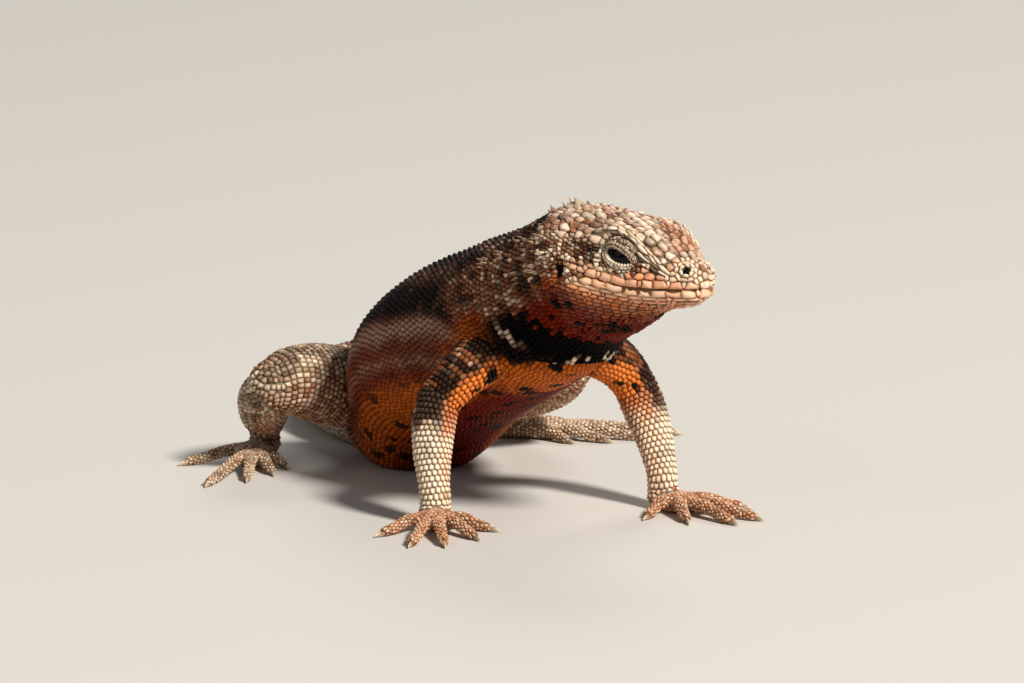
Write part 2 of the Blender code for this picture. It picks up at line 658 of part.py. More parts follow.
def main():
    clear_scene()
    rows = body_rows()
    made = {}
    for name, start, end, spacing, sides in BODY_NODES:
        made[name] = body_node(name, rows, start, end, spacing, sides)
    make_face(made["head"])
    spines = crest_spines(rows)
    spines["neck"] += side_spines(rows)
    for name, pieces in spines.items():
        if pieces:
            combine(made[name], pieces, "UNION")
    limbs = (
        ("foreleg_right", RIGHT_ARM, "hand_right", RIGHT_HAND_HEADING, HAND_PALM, HAND_DIGITS, -1),
        ("foreleg_left", LEFT_ARM, "hand_left", LEFT_HAND_HEADING, HAND_PALM, HAND_DIGITS, 1),
        ("hindleg_right", RIGHT_LEG, "foot_right", RIGHT_FOOT_HEADING, FOOT_SOLE, FOOT_DIGITS, -1),
        ("hindleg_left", LEFT_LEG, "foot_left", LEFT_FOOT_HEADING, FOOT_SOLE, FOOT_DIGITS, 1),
    )
    for name, limb, end_name, heading, palm, digits, mirror in limbs:
        end, radius = limb["lower"][-1]
        leg(name, limb, rows)
        paw(end_name, end, radius, heading, palm, digits, mirror)


main()
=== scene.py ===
"""The looks of a life-size lava lizard: one skin, thousands of separate scales, spines, claws and eyes.

Everything is worked out in millimetres and turned into metres when a mesh is made. The body is a long
surface given by a station along it and a turn around it (0 the left side, 90 the top), and each limb,
palm and digit is a tube of the same kind. Scales are sites on those surfaces, cut to fit each other.
"""

import itertools
import math

import bpy
import numpy as np
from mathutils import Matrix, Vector, noise
from mathutils.bvhtree import BVHTree
from mathutils.kdtree import KDTree


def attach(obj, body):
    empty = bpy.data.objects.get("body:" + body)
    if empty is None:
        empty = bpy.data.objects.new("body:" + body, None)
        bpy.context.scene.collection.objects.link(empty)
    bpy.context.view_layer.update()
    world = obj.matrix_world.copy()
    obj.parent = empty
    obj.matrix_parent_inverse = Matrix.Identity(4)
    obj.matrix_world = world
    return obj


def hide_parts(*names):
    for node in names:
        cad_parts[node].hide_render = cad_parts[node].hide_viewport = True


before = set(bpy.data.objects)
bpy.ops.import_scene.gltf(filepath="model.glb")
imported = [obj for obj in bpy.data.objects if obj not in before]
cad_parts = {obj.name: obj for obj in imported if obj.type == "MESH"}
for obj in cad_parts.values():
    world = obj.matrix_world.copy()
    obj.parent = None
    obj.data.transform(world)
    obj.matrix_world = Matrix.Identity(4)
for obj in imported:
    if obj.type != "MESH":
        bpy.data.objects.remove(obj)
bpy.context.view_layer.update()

MM = 0.001

# Head: pose, and stations by distance behind the snout's tip
SNOUT_TIP = np.array((6.5, -60.05, 27.45))
HEAD_YAW = math.radians(18)
HEAD_PITCH = math.radians(-3)
# distance behind the tip, tilt in degrees, half width, top, bottom, upper and lower roundness
HEAD_STATIONS = [
    (0.0, -3, 1.0, 0.8, 1.0, 2.2, 2.2),
    (0.35, -3, 1.6, 1.35, 1.45, 2.0, 2.2),
    (1.0, -3, 2.2, 1.95, 1.8, 2.0, 2.2),
    (2.2, -3, 2.95, 2.65, 2.15, 2.0, 2.2),
    (3.8, -3, 3.65, 3.45, 2.55, 2.1, 2.2),
    (5.4, -2, 4.4, 4.5, 3.0, 2.5, 2.2),
    (7.8, 0, 5.4, 5.4, 4.15, 2.7, 2.0),
    (10.6, 8, 6.4, 5.7, 5.7, 2.6, 1.9),
    (13.4, 17, 7.1, 5.85, 7.0, 2.4, 1.9),
    (16.0, 23, 7.3, 6.2, 8.2, 2.3, 1.9),
]
# what stands off that form or sinks into it: height, distance behind the tip and its spread, angle above
# the side and its spread
HEAD_BUMPS = [
    (-0.35, 6.4, 2.4, 90, 24),  # hollow of the forehead
    (0.4, 5.6, 1.5, 68, 12),  # ridge in front of it
    (-0.4, 12.2, 1.3, 28, 12),  # behind the brow
    (0.4, 13.4, 2.4, -8, 22),  # jaw muscle
    (0.2, 5.0, 5.0, -6, 11),  # lip
    (-0.3, 3.8, 1.3, 14, 9),  # in front of the eye
    (0.3, 1.5, 0.8, 34, 14),  # round the nostril
]
# centre, tilt in degrees, half width, top, bottom, upper and lower roundness
TRUNK_STATIONS = [
    ((1.1, -41.6, 27.1), 25, 7.3, 6.3, 9.0, 2.2, 2.0),
    ((0.4, -38.0, 24.8), 25, 7.8, 6.9, 9.3, 2.2, 2.0),
    ((0.0, -33.4, 22.3), 22, 8.8, 7.95, 9.1, 2.2, 2.1),
    ((0.0, -27.0, 19.8), 20, 10.2, 8.45, 8.9, 2.1, 2.2),
    ((0.0, -19.0, 16.6), 23, 11.6, 8.9, 8.8, 2.1, 2.2),
    ((0.0, -10.5, 12.0), 28, 11.4, 8.9, 8.0, 2.1, 2.2),
    ((0.0, -3.0, 7.5), 22, 8.5, 5.7, 8.7, 2.1, 2.4),
    ((0.0, 3.5, 5.2), 10, 6.2, 4.2, 5.9, 2.1, 2.3),
]
TAIL_START = (0.0, 8.5)
TAIL_LENGTH = 128.0
TAIL_ROOT_RADIUS = 4.0
TAIL_TIP_RADIUS = 0.45
TAIL_TAPER = 1.25
TAIL_BEND = math.radians(52)
TAIL_RETURN = math.radians(24)
TAIL_STATIONS = 22
# how fast the tail takes its bend, the share of it after which it swings back, and the power of that swing
TAIL_SWING, TAIL_BACK_FROM, TAIL_BACK_POWER = 1.75, 0.45, 1.3
# the tail's half width and the height of its axis, as shares of its radius
TAIL_WIDE, TAIL_HIGH = 1.06, 0.97
# shares of the head's turn that the neck's first stations take
NECK_TURN = (0.62, 0.28, 0.06)

# Stations that bound the parts of the body
HEAD_END = len(HEAD_STATIONS) - 0.75
TRUNK_FROM = len(HEAD_STATIONS) + 1.2
TAIL_FROM = len(HEAD_STATIONS) + len(TRUNK_STATIONS) - 0.6
BODY_END = len(HEAD_STATIONS) + len(TRUNK_STATIONS) + TAIL_STATIONS - 1.0

# Eye: centre in the head's frame as (behind the tip, to the side, above the axis), in mm
EYE_PLACE = (8.5, 3.2, 2.2)
EYE_RADIUS = 2.05
LID_RADIUS = 2.5
EYE_FACING = (-0.2, 1.0, 0.16)
EYE_TILT = math.radians(-17)
EYE_HALF_OPENING = (math.radians(47), math.radians(17.5))
LID_REACH = (math.radians(86), math.radians(80))
LOW_LID = math.radians(62)
# the power that makes the opening an almond, and how far its rim stands off the eyeball
EYE_ALMOND, LID_GAP = 1.25, 0.03
CORNEA_BULGE, CORNEA_REACH = 0.06, 0.75
EYE_RINGS, EYE_SIDES = 40, 64
# folds round the eye: height, distance from the rim and its spread
LID_FOLDS = [(0.10, 0.12, 0.06), (-0.10, 0.26, 0.05), (0.16, 0.40, 0.08), (-0.08, 0.56, 0.05)]
SOCKET = (2.2, 1.6)
NOSTRIL = (1.25, 1.62)
# the mouth's line as (behind, above)
MOUTH = [(0, -0.28), (1.9, -0.38), (4.1, -0.58), (6.2, -0.64), (7.7, -0.44), (9.3, -0.24), (10.9, 0.0),
         (14, 0.5)]
MOUTH_CORNER = 10.9
# how far behind the tip the middle of the snout's round front lies
SNOUT_MIDDLE = 2.2
EAR = (14.3, 0.2)
# how far from their middles the eyes, the nostrils and the ears stay free of scales
EYE_BARE, NOSTRIL_BARE, EAR_BARE = 2.62, 0.32, 0.8
# how far from the head's middle the rays start that find the skin
RAY_START = 14.0
SOCKET_DEPTH = 3.4
MOUTH_DEPTH, MOUTH_WIDTH = 0.45, 0.17
NOSTRIL_DEPTH, NOSTRIL_WIDTH = 0.8, 0.33
NOSTRIL_FLOOR = 0.36
# the ear's depth, and its spread along the head, up and inward
EAR_DEPTH = 1.0
EAR_SIZE = (0.75, 1.15, 1.5)

# Limbs as centre points with radii, upper length first
LIMBS = {
    "arm_right": (
        [((-2.5, -34.6, 18.8), 3.1), ((-6.6, -35.0, 17.5), 2.8), ((-10.0, -35.4, 15.6), 2.4),
         ((-12.3, -35.2, 13.4), 2.15)],
        [((-12.4, -35.0, 13.6), 2.1), ((-13.3, -35.5, 10.9), 2.2), ((-13.9, -36.3, 7.7), 1.95),
         ((-14.1, -37.1, 4.6), 1.55), ((-14.1, -37.4, 3.0), 1.5), ((-14.1, -37.4, 1.2), 1.5)]),
    "arm_left": (
        [((2.5, -34.6, 18.8), 3.1), ((6.0, -35.2, 17.4), 2.9), ((9.0, -35.3, 15.4), 2.45),
         ((10.9, -35.2, 13.2), 2.2)],
        [((10.9, -35.1, 13.4), 2.15), ((11.7, -35.9, 10.8), 2.25), ((12.2, -37.4, 7.7), 1.95),
         ((12.4, -38.7, 4.6), 1.55), ((12.4, -39.2, 3.0), 1.5), ((12.4, -39.2, 1.2), 1.5)]),
    "leg_right": (
        [((-2.0, 1.2, 7.0), 4.0), ((-6.5, 0.4, 8.4), 4.3), ((-11.6, -1.0, 9.8), 4.3),
         ((-15.5, -2.0, 10.4), 3.7), ((-17.7, -2.4, 10.3), 2.8)],
        [((-17.5, -2.0, 9.6), 2.7), ((-17.1, 1.2, 8.0), 2.9), ((-15.7, 4.8, 5.9), 2.6),
         ((-14.2, 7.8, 4.1), 1.9), ((-13.7, 9.2, 3.1), 1.6), ((-13.7, 9.2, 1.3), 1.6)]),
    "leg_left": (
        [((2.0, 1.2, 7.0), 4.0), ((6.5, 0.2, 8.4), 4.3), ((12.0, -2.2, 9.8), 4.2),
         ((15.9, -4.0, 10.3), 3.6), ((18.1, -4.9, 10.1), 2.8)],
        [((17.9, -4.4, 9.4), 2.7), ((18.2, -1.0, 7.8), 2.9), ((17.3, 3.2, 5.8), 2.6),
         ((16.1, 6.7, 4.0), 1.9), ((15.6, 8.3, 3.1), 1.6), ((15.6, 8.3, 1.3), 1.6)]),
}
HAND_PALM = (4.6, 2.25, 1.15)
FOOT_SOLE = (8.0, 2.2, 1.35)
HAND_DIGITS = [(64, 0.45, 4.4), (30, 0.8, 6.3), (5, 1.0, 8.4), (-14, 0.95, 8.6), (-47, 0.6, 5.6)]
FOOT_DIGITS = [(44, 0.55, 4.2), (26, 0.8, 6.6), (10, 1.0, 9.4), (-6, 1.0, 12.8), (-52, 0.3, 7.0)]
# limb, wrist or ankle, heading in degrees, palm, digits, side
PAWS = {
    "hand_right": ("arm_right", (-14.1, -37.4), 205, HAND_PALM, HAND_DIGITS, -1),
    "hand_left": ("arm_left", (12.4, -39.2), 167, HAND_PALM, HAND_DIGITS, 1),
    "foot_right": ("leg_right", (-13.7, 9.2), 217, FOOT_SOLE, FOOT_DIGITS, -1),
    "foot_left": ("leg_left", (15.6, 8.3), 118, FOOT_SOLE, FOOT_DIGITS, 1),
}
DIGIT_RADIUS = 0.72
# rings of a palm: share of its length, share of its width
PALM_RINGS = ((-0.12, 0.4), (0.0, 0.72), (0.35, 0.85), (0.75, 1.0), (1.0, 0.85), (1.1, 0.5))
# rings of a digit: share of its length, share of its radius
DIGIT_RINGS = ((0, 1.0), (0.25, 0.95), (0.5, 0.88), (0.75, 0.8), (1.0, 0.68), (1.04, 0.35))
# the middle's height at a digit's last rings
DIGIT_HEIGHTS = (1.25, 0.78, 0.5, 0.45)
# a palm starts this far behind the wrist or ankle, a digit behind its root, a claw behind its digit's end
PALM_BACK, DIGIT_BACK, CLAW_BACK = 0.6, 1.2, 0.1
CLAW_LENGTH = 1.5
CLAW_RADIUS = 0.4
CLAW_RINGS, CLAW_SIDES = 7, 8

# Spines: where the crest starts, and clumps on the side of the neck as (station, turn, how many)
CREST_FROM = len(HEAD_STATIONS) - 1.05
NECK_CLUMPS = [(9.0, 12, 6), (9.3, 30, 7), (9.55, 2, 7), (9.85, 14, 8), (10.15, 34, 8), (10.35, 2, 6),
               (10.75, 30, 7), (11.4, 30, 5)]
# rings of a spine: share of its length, share of its girth, and how dark
SPINE_RINGS = ((-0.15, 1.0, 1), (0.2, 0.8, 0.6), (0.55, 0.5, 0.2), (0.82, 0.24, 0), (1.0, 0.05, 0))
SPINE_SIDES = 5

# Coats of scales: each takes a group of sites, and where scales crowd, the lower rank stays
HEAD_COAT, NECK_COAT, TRUNK_COAT, TAIL_COAT, FORE_COAT, HIND_COAT = range(6)
LINED, FREE, PAW = range(3)
# turns in degrees: once round from the underside, and the crown's edge
AROUND = (-270, 90)
CROWN_EDGE = 34
# how much of their common size two scales keep between them
CROWDING = 0.72
# bare skin: further from a scale than this share of its size, but not further than this, takes one of this
# length and width
FILL_SHARE, FILL_REACH, FILL_STEP, FILL_SIZE = 0.78, 3.5, 0.5, (0.56, 0.54)
# how deep a scale's edge sinks into the skin, the gap between scales, their growth before neighbours cut it
SCALE_ROOT = 0.12
SEAM = 0.07
OVERLAP = 1.12
# how many neighbours may cut a scale, and how far off they may be, in scales
NEIGHBOURS, CUT_REACH = 13, 2.6
# cells of the unwrap: the body's, and the columns of boxes for the tubes
BODY_CELL = -1
ATLAS_COLUMNS = 8
# how far a scale, a spine and the scales that fill gaps spread on the unwrap
SCALE_ON_ATLAS, SPINE_ON_ATLAS, FILL_ON_ATLAS = 0.0015, 0.0012, 0.004

# Camera: turn to the side, rise above the floor, in degrees, metres away, lens, aim in mm
CAMERA_TURN = -26.0
CAMERA_RISE = 9.0
CAMERA_DISTANCE = 0.6
CAMERA_LENS = 196.0
CAMERA_AIM = (-4.17, -35.8, 18.95)
SENSOR_WIDTH = 36
# Lights: name, place in metres, width, power, colour
LIGHTS = [
    ("key", (0.48, -1.9, 1.64), 0.42, 92.0, (1.0, 0.965, 0.91)),
    ("fill", (-1.8, -0.25, 0.9), 1.4, 3.0, (0.94, 0.97, 1.0)),
    ("back", (1.0, 1.3, 1.15), 0.8, 10.0, (1.0, 0.98, 0.95)),
]
LIGHTS_AIM = (0, -0.035, 0.015)
WORLD_COLOUR = (0.93, 0.96, 1.0, 1.0)
WORLD_STRENGTH = 0.16
FLOOR_REACH = 4000

SEED = 7
SKIN_VOXEL = 0.3
# the skin before it is remeshed: the body's ring spacing and sides, a tube's rings a station and sides, and
# the balls in its joints as a share of its radius
BODY_RING, BODY_SIDES, TUBE_RINGS, TUBE_SIDES, JOINT_BALL = 0.55, 96, 7, 28, 0.97
# how far scales and claws stay off the floor
SCALE_FLOOR, CLAW_FLOOR = 0.02, 0.03
COLOURS = {
    "slate": "#27150E", "tan": "#8B5F40", "ash": "#EAD4B6",
    "orange": "#F07C1A", "rust": "#701403", "cream": "#FCEACB", "umber": "#4A2410", "black": "#060505",
    "claw_root": "#6B5646", "claw_tip": "#C9B596",
    "pupil": "#020202", "iris": "#140A05", "floor": "#CFCAC2",
}


def linear(code):
    """A colour written as sRGB hex, as linear values for a shader."""
    parts = [int(code[k:k + 2], 16) / 255 for k in (1, 3, 5)]
    return tuple(p / 12.92 if p <= 0.04045 else ((p + 0.055) / 1.055) ** 2.4 for p in parts) + (1.0,)


def unit(v):
    """Directions at length one."""
    return v / np.maximum(np.linalg.norm(v, axis=-1, keepdims=True), 1e-9)


def hump(value, centre, spread):
    """A smooth bump of height one."""
    return np.exp(-(((value - centre) / spread) ** 2))


def ramp(value, start, end):
    """A smooth rise from 0 at start to 1 at end."""
    t = np.clip((np.asarray(value, float) - start) / (end - start), 0, 1)
    return t * t * (3 - 2 * t)


def smooth_rows(table, at):
    """Rows at fractional places of a table, on a Catmull-Rom curve."""
    table = np.asarray(table, float)
    padded = np.vstack([2 * table[0] - table[1], table, 2 * table[-1] - table[-2]])
    at = np.clip(np.asarray(at, float), 0, len(table) - 1)
    i = np.minimum(at.astype(int), len(table) - 2)
    t = (at - i)[..., None]
    p0, p1, p2, p3 = (padded[i + k] for k in range(4))
    return 0.5 * (2 * p1 + (p2 - p0) * t + (2 * p0 - 5 * p1 + 4 * p2 - p3) * t * t
                  + (3 * p1 - p0 - 3 * p2 + p3) * t ** 3)


def forward_of(yaw, tilt):
    """The way forward for a yaw to the left and a tilt upward."""
    return np.stack([np.sin(yaw) * np.cos(tilt), -np.cos(yaw) * np.cos(tilt), np.sin(tilt)], -1)


HEAD_FORWARD = forward_of(HEAD_YAW, HEAD_PITCH)
HEAD_LEFT = np.array((math.cos(HEAD_YAW), math.sin(HEAD_YAW), 0))
HEAD_UP = np.cross(HEAD_FORWARD, HEAD_LEFT)


def head_point(behind, aside=0.0, above=0.0):
    """A point given in the head's own frame, in the model's."""
    behind, aside, above = (np.asarray(v, float)[..., None] for v in (behind, aside, above))
    return SNOUT_TIP - HEAD_FORWARD * behind + HEAD_LEFT * aside + HEAD_UP * above


def head_places(points):
    """How far behind the tip, to the left and above the axis points lie, in the head's frame."""
    away = points - SNOUT_TIP
    return -(away @ HEAD_FORWARD), away @ HEAD_LEFT, away @ HEAD_UP


def tail_rows():
    """The tail's stations on the floor, as rows like those of the body."""
    rows = []
    x, y = TAIL_START
    step = TAIL_LENGTH / (TAIL_STATIONS - 1)
    for k in range(TAIL_STATIONS):
        share = k / (TAIL_STATIONS - 1)
        turn = TAIL_BEND * math.sin(min(1.0, TAIL_SWING * share) * math.pi / 2)
        turn -= TAIL_RETURN * max(0.0, (share - TAIL_BACK_FROM) / (1 - TAIL_BACK_FROM)) ** TAIL_BACK_POWER
        radius = TAIL_TIP_RADIUS + (TAIL_ROOT_RADIUS - TAIL_TIP_RADIUS) * (1 - share) ** TAIL_TAPER
        rows.append([x, y, TAIL_HIGH * radius, -turn, 0.0, TAIL_WIDE * radius, radius, radius, 2.0, 2.0])
        x += step * math.sin(turn)
        y += step * math.cos(turn)
    return rows


def body_rows():
    """Each station's centre, yaw, tilt, half width, top, bottom and the roundness above and below."""
    rows = []
    for behind, tilt, *sizes in HEAD_STATIONS:
        rows.append([*head_point(behind), HEAD_YAW, math.radians(tilt), *sizes])
    yaws = [share * HEAD_YAW for share in NECK_TURN] + [0.0] * len(TRUNK_STATIONS)
    for (centre, tilt, *sizes), yaw in zip(TRUNK_STATIONS, yaws):
        rows.append([*centre, yaw, math.radians(tilt), *sizes])
    return np.array(rows + tail_rows())


BODY = body_rows()


def brow_turn(behind):
    """The angle above the side at which the brow's ridge runs, falling towards the nostril."""
    return np.interp(behind, [1.6, 3.2, 4.4, 5.3, 6.7, 8.6, 9.7, 10.6, 11.6],
                     [18, 29, 34, 38, 45, 52, 49, 42, 34])


def mouth_height(behind):
    """How far above the head's axis the mouth's line runs."""
    return np.interp(behind, [spot[0] for spot in MOUTH], [spot[1] for spot in MOUTH])


def head_relief(behind, turn):
    """How far the skin stands off the head's plain form: brow, cheek, snout and the hollows between."""
    side = side_of(turn)
    ridge = brow_turn(behind)
    size = np.interp(behind, [1.4, 3.2, 5.0, 6.8, 9.6, 11.4, 13.0], [0, 0.2, 0.45, 0.8, 0.75, 0.35, 0])
    relief = size * hump(side, ridge, 8)
    relief -= 0.6 * size * hump(side, ridge - 18, 8)
    for height, place, length, angle, width in HEAD_BUMPS:
        relief += height * hump(behind, place, length) * hump(side, angle, width)
    return relief


def side_of(turn):
    """The angle above the side, the same on the left and the right: 90 on top and -90 below."""
    side = np.where(turn <= 90, turn, 180 - turn)
    return np.where(turn < -90, -180 - turn, side)


def fold_station(side):
    """Where the fold at the throat's foot runs, by the angle above the side."""
    return np.interp(side, [-90, -80, -66, -50, -20, 15], [10.6, 10.63, 10.85, 11.2, 11.5, 11.7])


def neck_relief(at, turn):
    """The folds of loose skin on the neck and across the throat's foot."""
    side = side_of(turn)
    fold = fold_station(side)
    relief = ramp(side, 10, -30) * (0.5 * hump(at, fold - 0.2, 0.22) - 0.7 * hump(at, fold + 0.16, 0.16))
    slant = 9.75 + 0.008 * (side + 30)
    relief += hump(side, -8, 32) * (0.25 * hump(at, slant - 0.3, 0.22) - 0.35 * hump(at, slant, 0.16))
    return relief


def body_surface(at, turn, grow=0.0):
    """Points of the long surface from the snout to the tail's tip."""
    row = smooth_rows(BODY, at)
    turn = np.asarray(turn, float)
    centre, yaw, tilt = row[..., :3], row[..., 3], row[..., 4]
    wide, top, bottom, upper, lower = np.moveaxis(row[..., 5:], -1, 0)
    forward = forward_of(yaw, tilt)
    left = np.stack([np.cos(yaw), np.sin(yaw), 0 * yaw], -1)
    up = np.cross(forward, left)
    c, s = np.cos(np.radians(turn)), np.sin(np.radians(turn))
    power = 2 / np.where(s > 0, upper, lower)
    x = np.sign(c) * np.abs(c) ** power * wide
    y = np.sign(s) * np.abs(s) ** power * np.where(s > 0, top, bottom)
    out = left * x[..., None] + up * y[..., None]
    behind = (SNOUT_TIP - centre) @ HEAD_FORWARD
    stand = np.where(np.asarray(at) < 11.0, head_relief(behind, turn), 0.0)
    stand = stand + np.where(np.asarray(at) < 14.0, neck_relief(at, turn), 0.0) + grow
    point = centre + out + unit(out) * stand[..., None]
    point[..., 2] = np.maximum(point[..., 2], 0.0)
    return point


def tube(points, flat=1.0):
    """A tube's surface as a function of station and turn, the same way as the body's."""
    table = np.array([[*place, radius] for place, radius in points])

    def surface(at, turn, grow=0.0):
        at = np.asarray(at, float)
        row = smooth_rows(table, at)
        after, before = smooth_rows(table, at + 0.02), smooth_rows(table, at - 0.02)
        along = unit(after[..., :3] - before[..., :3])
        steep = np.abs(along[..., 2]) > 0.8
        upright = np.where(steep[..., None], np.array((0, -1.0, 0)), np.array((0, 0, 1.0)))
        side = unit(np.cross(along, upright))
        other = np.cross(side, along)
        a = np.radians(turn)
        radius = row[..., 3] + grow
        point = row[..., :3] + side * (np.cos(a) * radius)[..., None]
        point = point + other * (np.sin(a) * radius * flat)[..., None]
        point[..., 2] = np.maximum(point[..., 2], 0.0)
        return point

    surface.length = len(table) - 1.0
    return surface


def paw_tubes(ankle, heading, palm, digits, mirror):
    """The palm and the digits of one hand or foot, as tubes, with each claw's root and heading."""
    length, wide, high = palm
    heading = math.radians(heading)
    ahead = np.array((math.sin(heading), math.cos(heading), 0))
    aside = np.array((ahead[1], -ahead[0], 0)) * mirror
    floor = np.array((ankle[0], ankle[1], 0)) - ahead * PALM_BACK
    points = []
    for share, width in PALM_RINGS:
        place = floor + ahead * (length * share)
        points.append(((place[0], place[1], 0.92 * high - 0.1 * share), wide * width))
    tubes = [tube(points, flat=high / wide)]
    claws = []
    for turn, share, reach in digits:
        spread = math.radians(turn) * mirror
        root = floor + ahead * (length * (0.35 + 0.65 * share))
        root = root + aside * (wide * 0.85 * math.sin(math.radians(turn)))
        way = np.array((math.sin(heading + spread), math.cos(heading + spread), 0))
        start, stretch = root - way * DIGIT_BACK, reach + DIGIT_BACK
        heights = [0.95 * high, 0.95 * high + 0.15, *DIGIT_HEIGHTS]
        points = []
        for height, (part, radius) in zip(heights, DIGIT_RINGS):
            place = start + way * (stretch * part)
            points.append(((place[0], place[1], height), DIGIT_RADIUS * radius))
        tubes.append(tube(points))
        claws.append((start + way * (stretch - CLAW_BACK), way))
    return tubes, claws


def ring_faces(rings, sides):
    """Quads between neighbouring rings of points."""
    faces = []
    for i in range(rings - 1):
        for k in range(sides):
            n = (k + 1) % sides
            faces.append((i * sides + k, i * sides + n, (i + 1) * sides + n, (i + 1) * sides + k))
    return faces


def closed_faces(rings, sides):
    """The same, with a face over each end."""
    ends = [tuple(range(sides))[::-1], tuple(range((rings - 1) * sides, rings * sides))]
    return ring_faces(rings, sides) + ends


def sided(faces, side):
    """Faces turned over for the left side, where the points are mirrored."""
    return faces if side < 0 else [face[::-1] for face in faces]


def grid_mesh(surface, ats, sides):
    """Vertices and faces of a closed tube through rings of a surface."""
    turns = np.linspace(*AROUND, sides, endpoint=False)
    points = surface(np.repeat(ats, sides), np.tile(turns, len(ats)))
    return points, closed_faces(len(ats), sides)


def make_object(name, points, faces, smooth=True):
    """A mesh object in metres from points in mm."""
    mesh = bpy.data.meshes.new(name)
    mesh.from_pydata([tuple(p) for p in np.asarray(points) * MM], [], faces)
    mesh.validate()
    if smooth:
        mesh.shade_smooth()
    obj = bpy.data.objects.new(name, mesh)
    bpy.context.scene.collection.objects.link(obj)
    return obj


def joined(shells):
    """Several (points, faces) as one."""
    points, faces, base = [], [], 0
    for some_points, some_faces in shells:
        points.append(some_points)
        faces += [tuple(base + i for i in face) for face in some_faces]
        base += len(some_points)
    return np.concatenate(points), faces


def evaluated_copy(obj, name):
    """The object with its modifiers applied, in its place."""
    graph = bpy.context.evaluated_depsgraph_get()
    mesh = bpy.data.meshes.new_from_object(obj.evaluated_get(graph))
    made = bpy.data.objects.new(name, mesh)
    bpy.context.scene.collection.objects.link(made)
    bpy.data.objects.remove(obj)
    return made


def eye_axes(side):
    """The eye's centre, and the directions it faces, of its opening's length and of its height."""
    facing = -HEAD_FORWARD * EYE_FACING[0] + HEAD_LEFT * (side * EYE_FACING[1]) + HEAD_UP * EYE_FACING[2]
    facing = unit(facing)
    along = HEAD_FORWARD * math.cos(EYE_TILT) + HEAD_UP * math.sin(EYE_TILT)
    along = unit(along - facing * (along @ facing))
    height = unit(HEAD_UP - facing * (HEAD_UP @ facing) - along * (HEAD_UP @ along))
    centre = head_point(EYE_PLACE[0], side * EYE_PLACE[1], EYE_PLACE[2])
    return centre, facing, along, height


def lid_point(side, angle, share):
    """A point of the eyelids: share 0 on the rim of the opening and 1 far under the skin around."""
    centre, facing, along, height = eye_axes(side)
    c, s = np.cos(angle), np.sin(angle)
    almond = np.sign(s) * np.abs(s) ** EYE_ALMOND
    x = c * (EYE_HALF_OPENING[0] * (1 - share) + LID_REACH[0] * share)
    low = np.where(s < 0, LOW_LID, LID_REACH[1])
    y = almond * EYE_HALF_OPENING[1] * (1 - share) + s * low * share
    bend = np.hypot(x, y)
    radius = EYE_RADIUS + LID_GAP + (LID_RADIUS - EYE_RADIUS) * ramp(share, -0.02, 0.10)
    for fold, place, spread in LID_FOLDS:
        radius = radius + fold * hump(share, place, spread)
    length = np.maximum(bend, 1e-6)
    flat = (x / length)[..., None] * along + (y / length)[..., None] * height
    return centre + radius[..., None] * (facing * np.cos(bend)[..., None] + flat * np.sin(bend)[..., None])


def lid_shell(side):
    """The eyelids' skin, from the rim of the opening out under the skin around."""
    shares = np.concatenate([np.linspace(0, 0.2, 9), np.linspace(0.23, 1, 14)])
    angles = np.linspace(0, 2 * math.pi, 72, endpoint=False)
    points = lid_point(side, np.tile(angles, len(shares)), np.repeat(shares, len(angles)))
    return points, sided(ring_faces(len(shares), len(angles)), side)


def nostril_spot(side):
    """The nostril's middle on the surface, on the given side."""
    ats, turns = np.meshgrid(np.linspace(1.2, 4, 57), np.linspace(0, 80, 81), indexing="ij")
    turns = turns.ravel() if side > 0 else 180 - turns.ravel()
    turns = np.where(turns > 90, turns - 360, turns)
    cloud = body_surface(ats.ravel(), turns)
    behind, _, above = head_places(cloud)
    return cloud[np.argmin((behind - NOSTRIL[0]) ** 2 + (above - NOSTRIL[1]) ** 2)]


def nostril_way(side):
    """The way the nostril faces."""
    return unit(0.62 * side * HEAD_LEFT + 0.66 * HEAD_UP + 0.42 * HEAD_FORWARD)


def nostril_circle(side, radius, angle):
    """Points round the nostril, and the way round at each."""
    out = nostril_way(side)
    up = unit(HEAD_UP - out * (HEAD_UP @ out))
    ahead = np.cross(up, out)
    c, s = np.cos(angle)[:, None], np.sin(angle)[:, None]
    return nostril_spot(side) + radius * (c * ahead + s * up), c * up - s * ahead


def nostril_pit(side):
    """A small dark floor for the nostril, level with the skin around it."""
    sides = 16
    out = nostril_way(side)
    ring, _ = nostril_circle(side, NOSTRIL_FLOOR, 2 * math.pi * np.arange(sides) / sides)
    points = np.concatenate([ring - 0.1 * out, ring + 0.03 * out])
    return points, ring_faces(2, sides) + [tuple(range(sides, 2 * sides))]


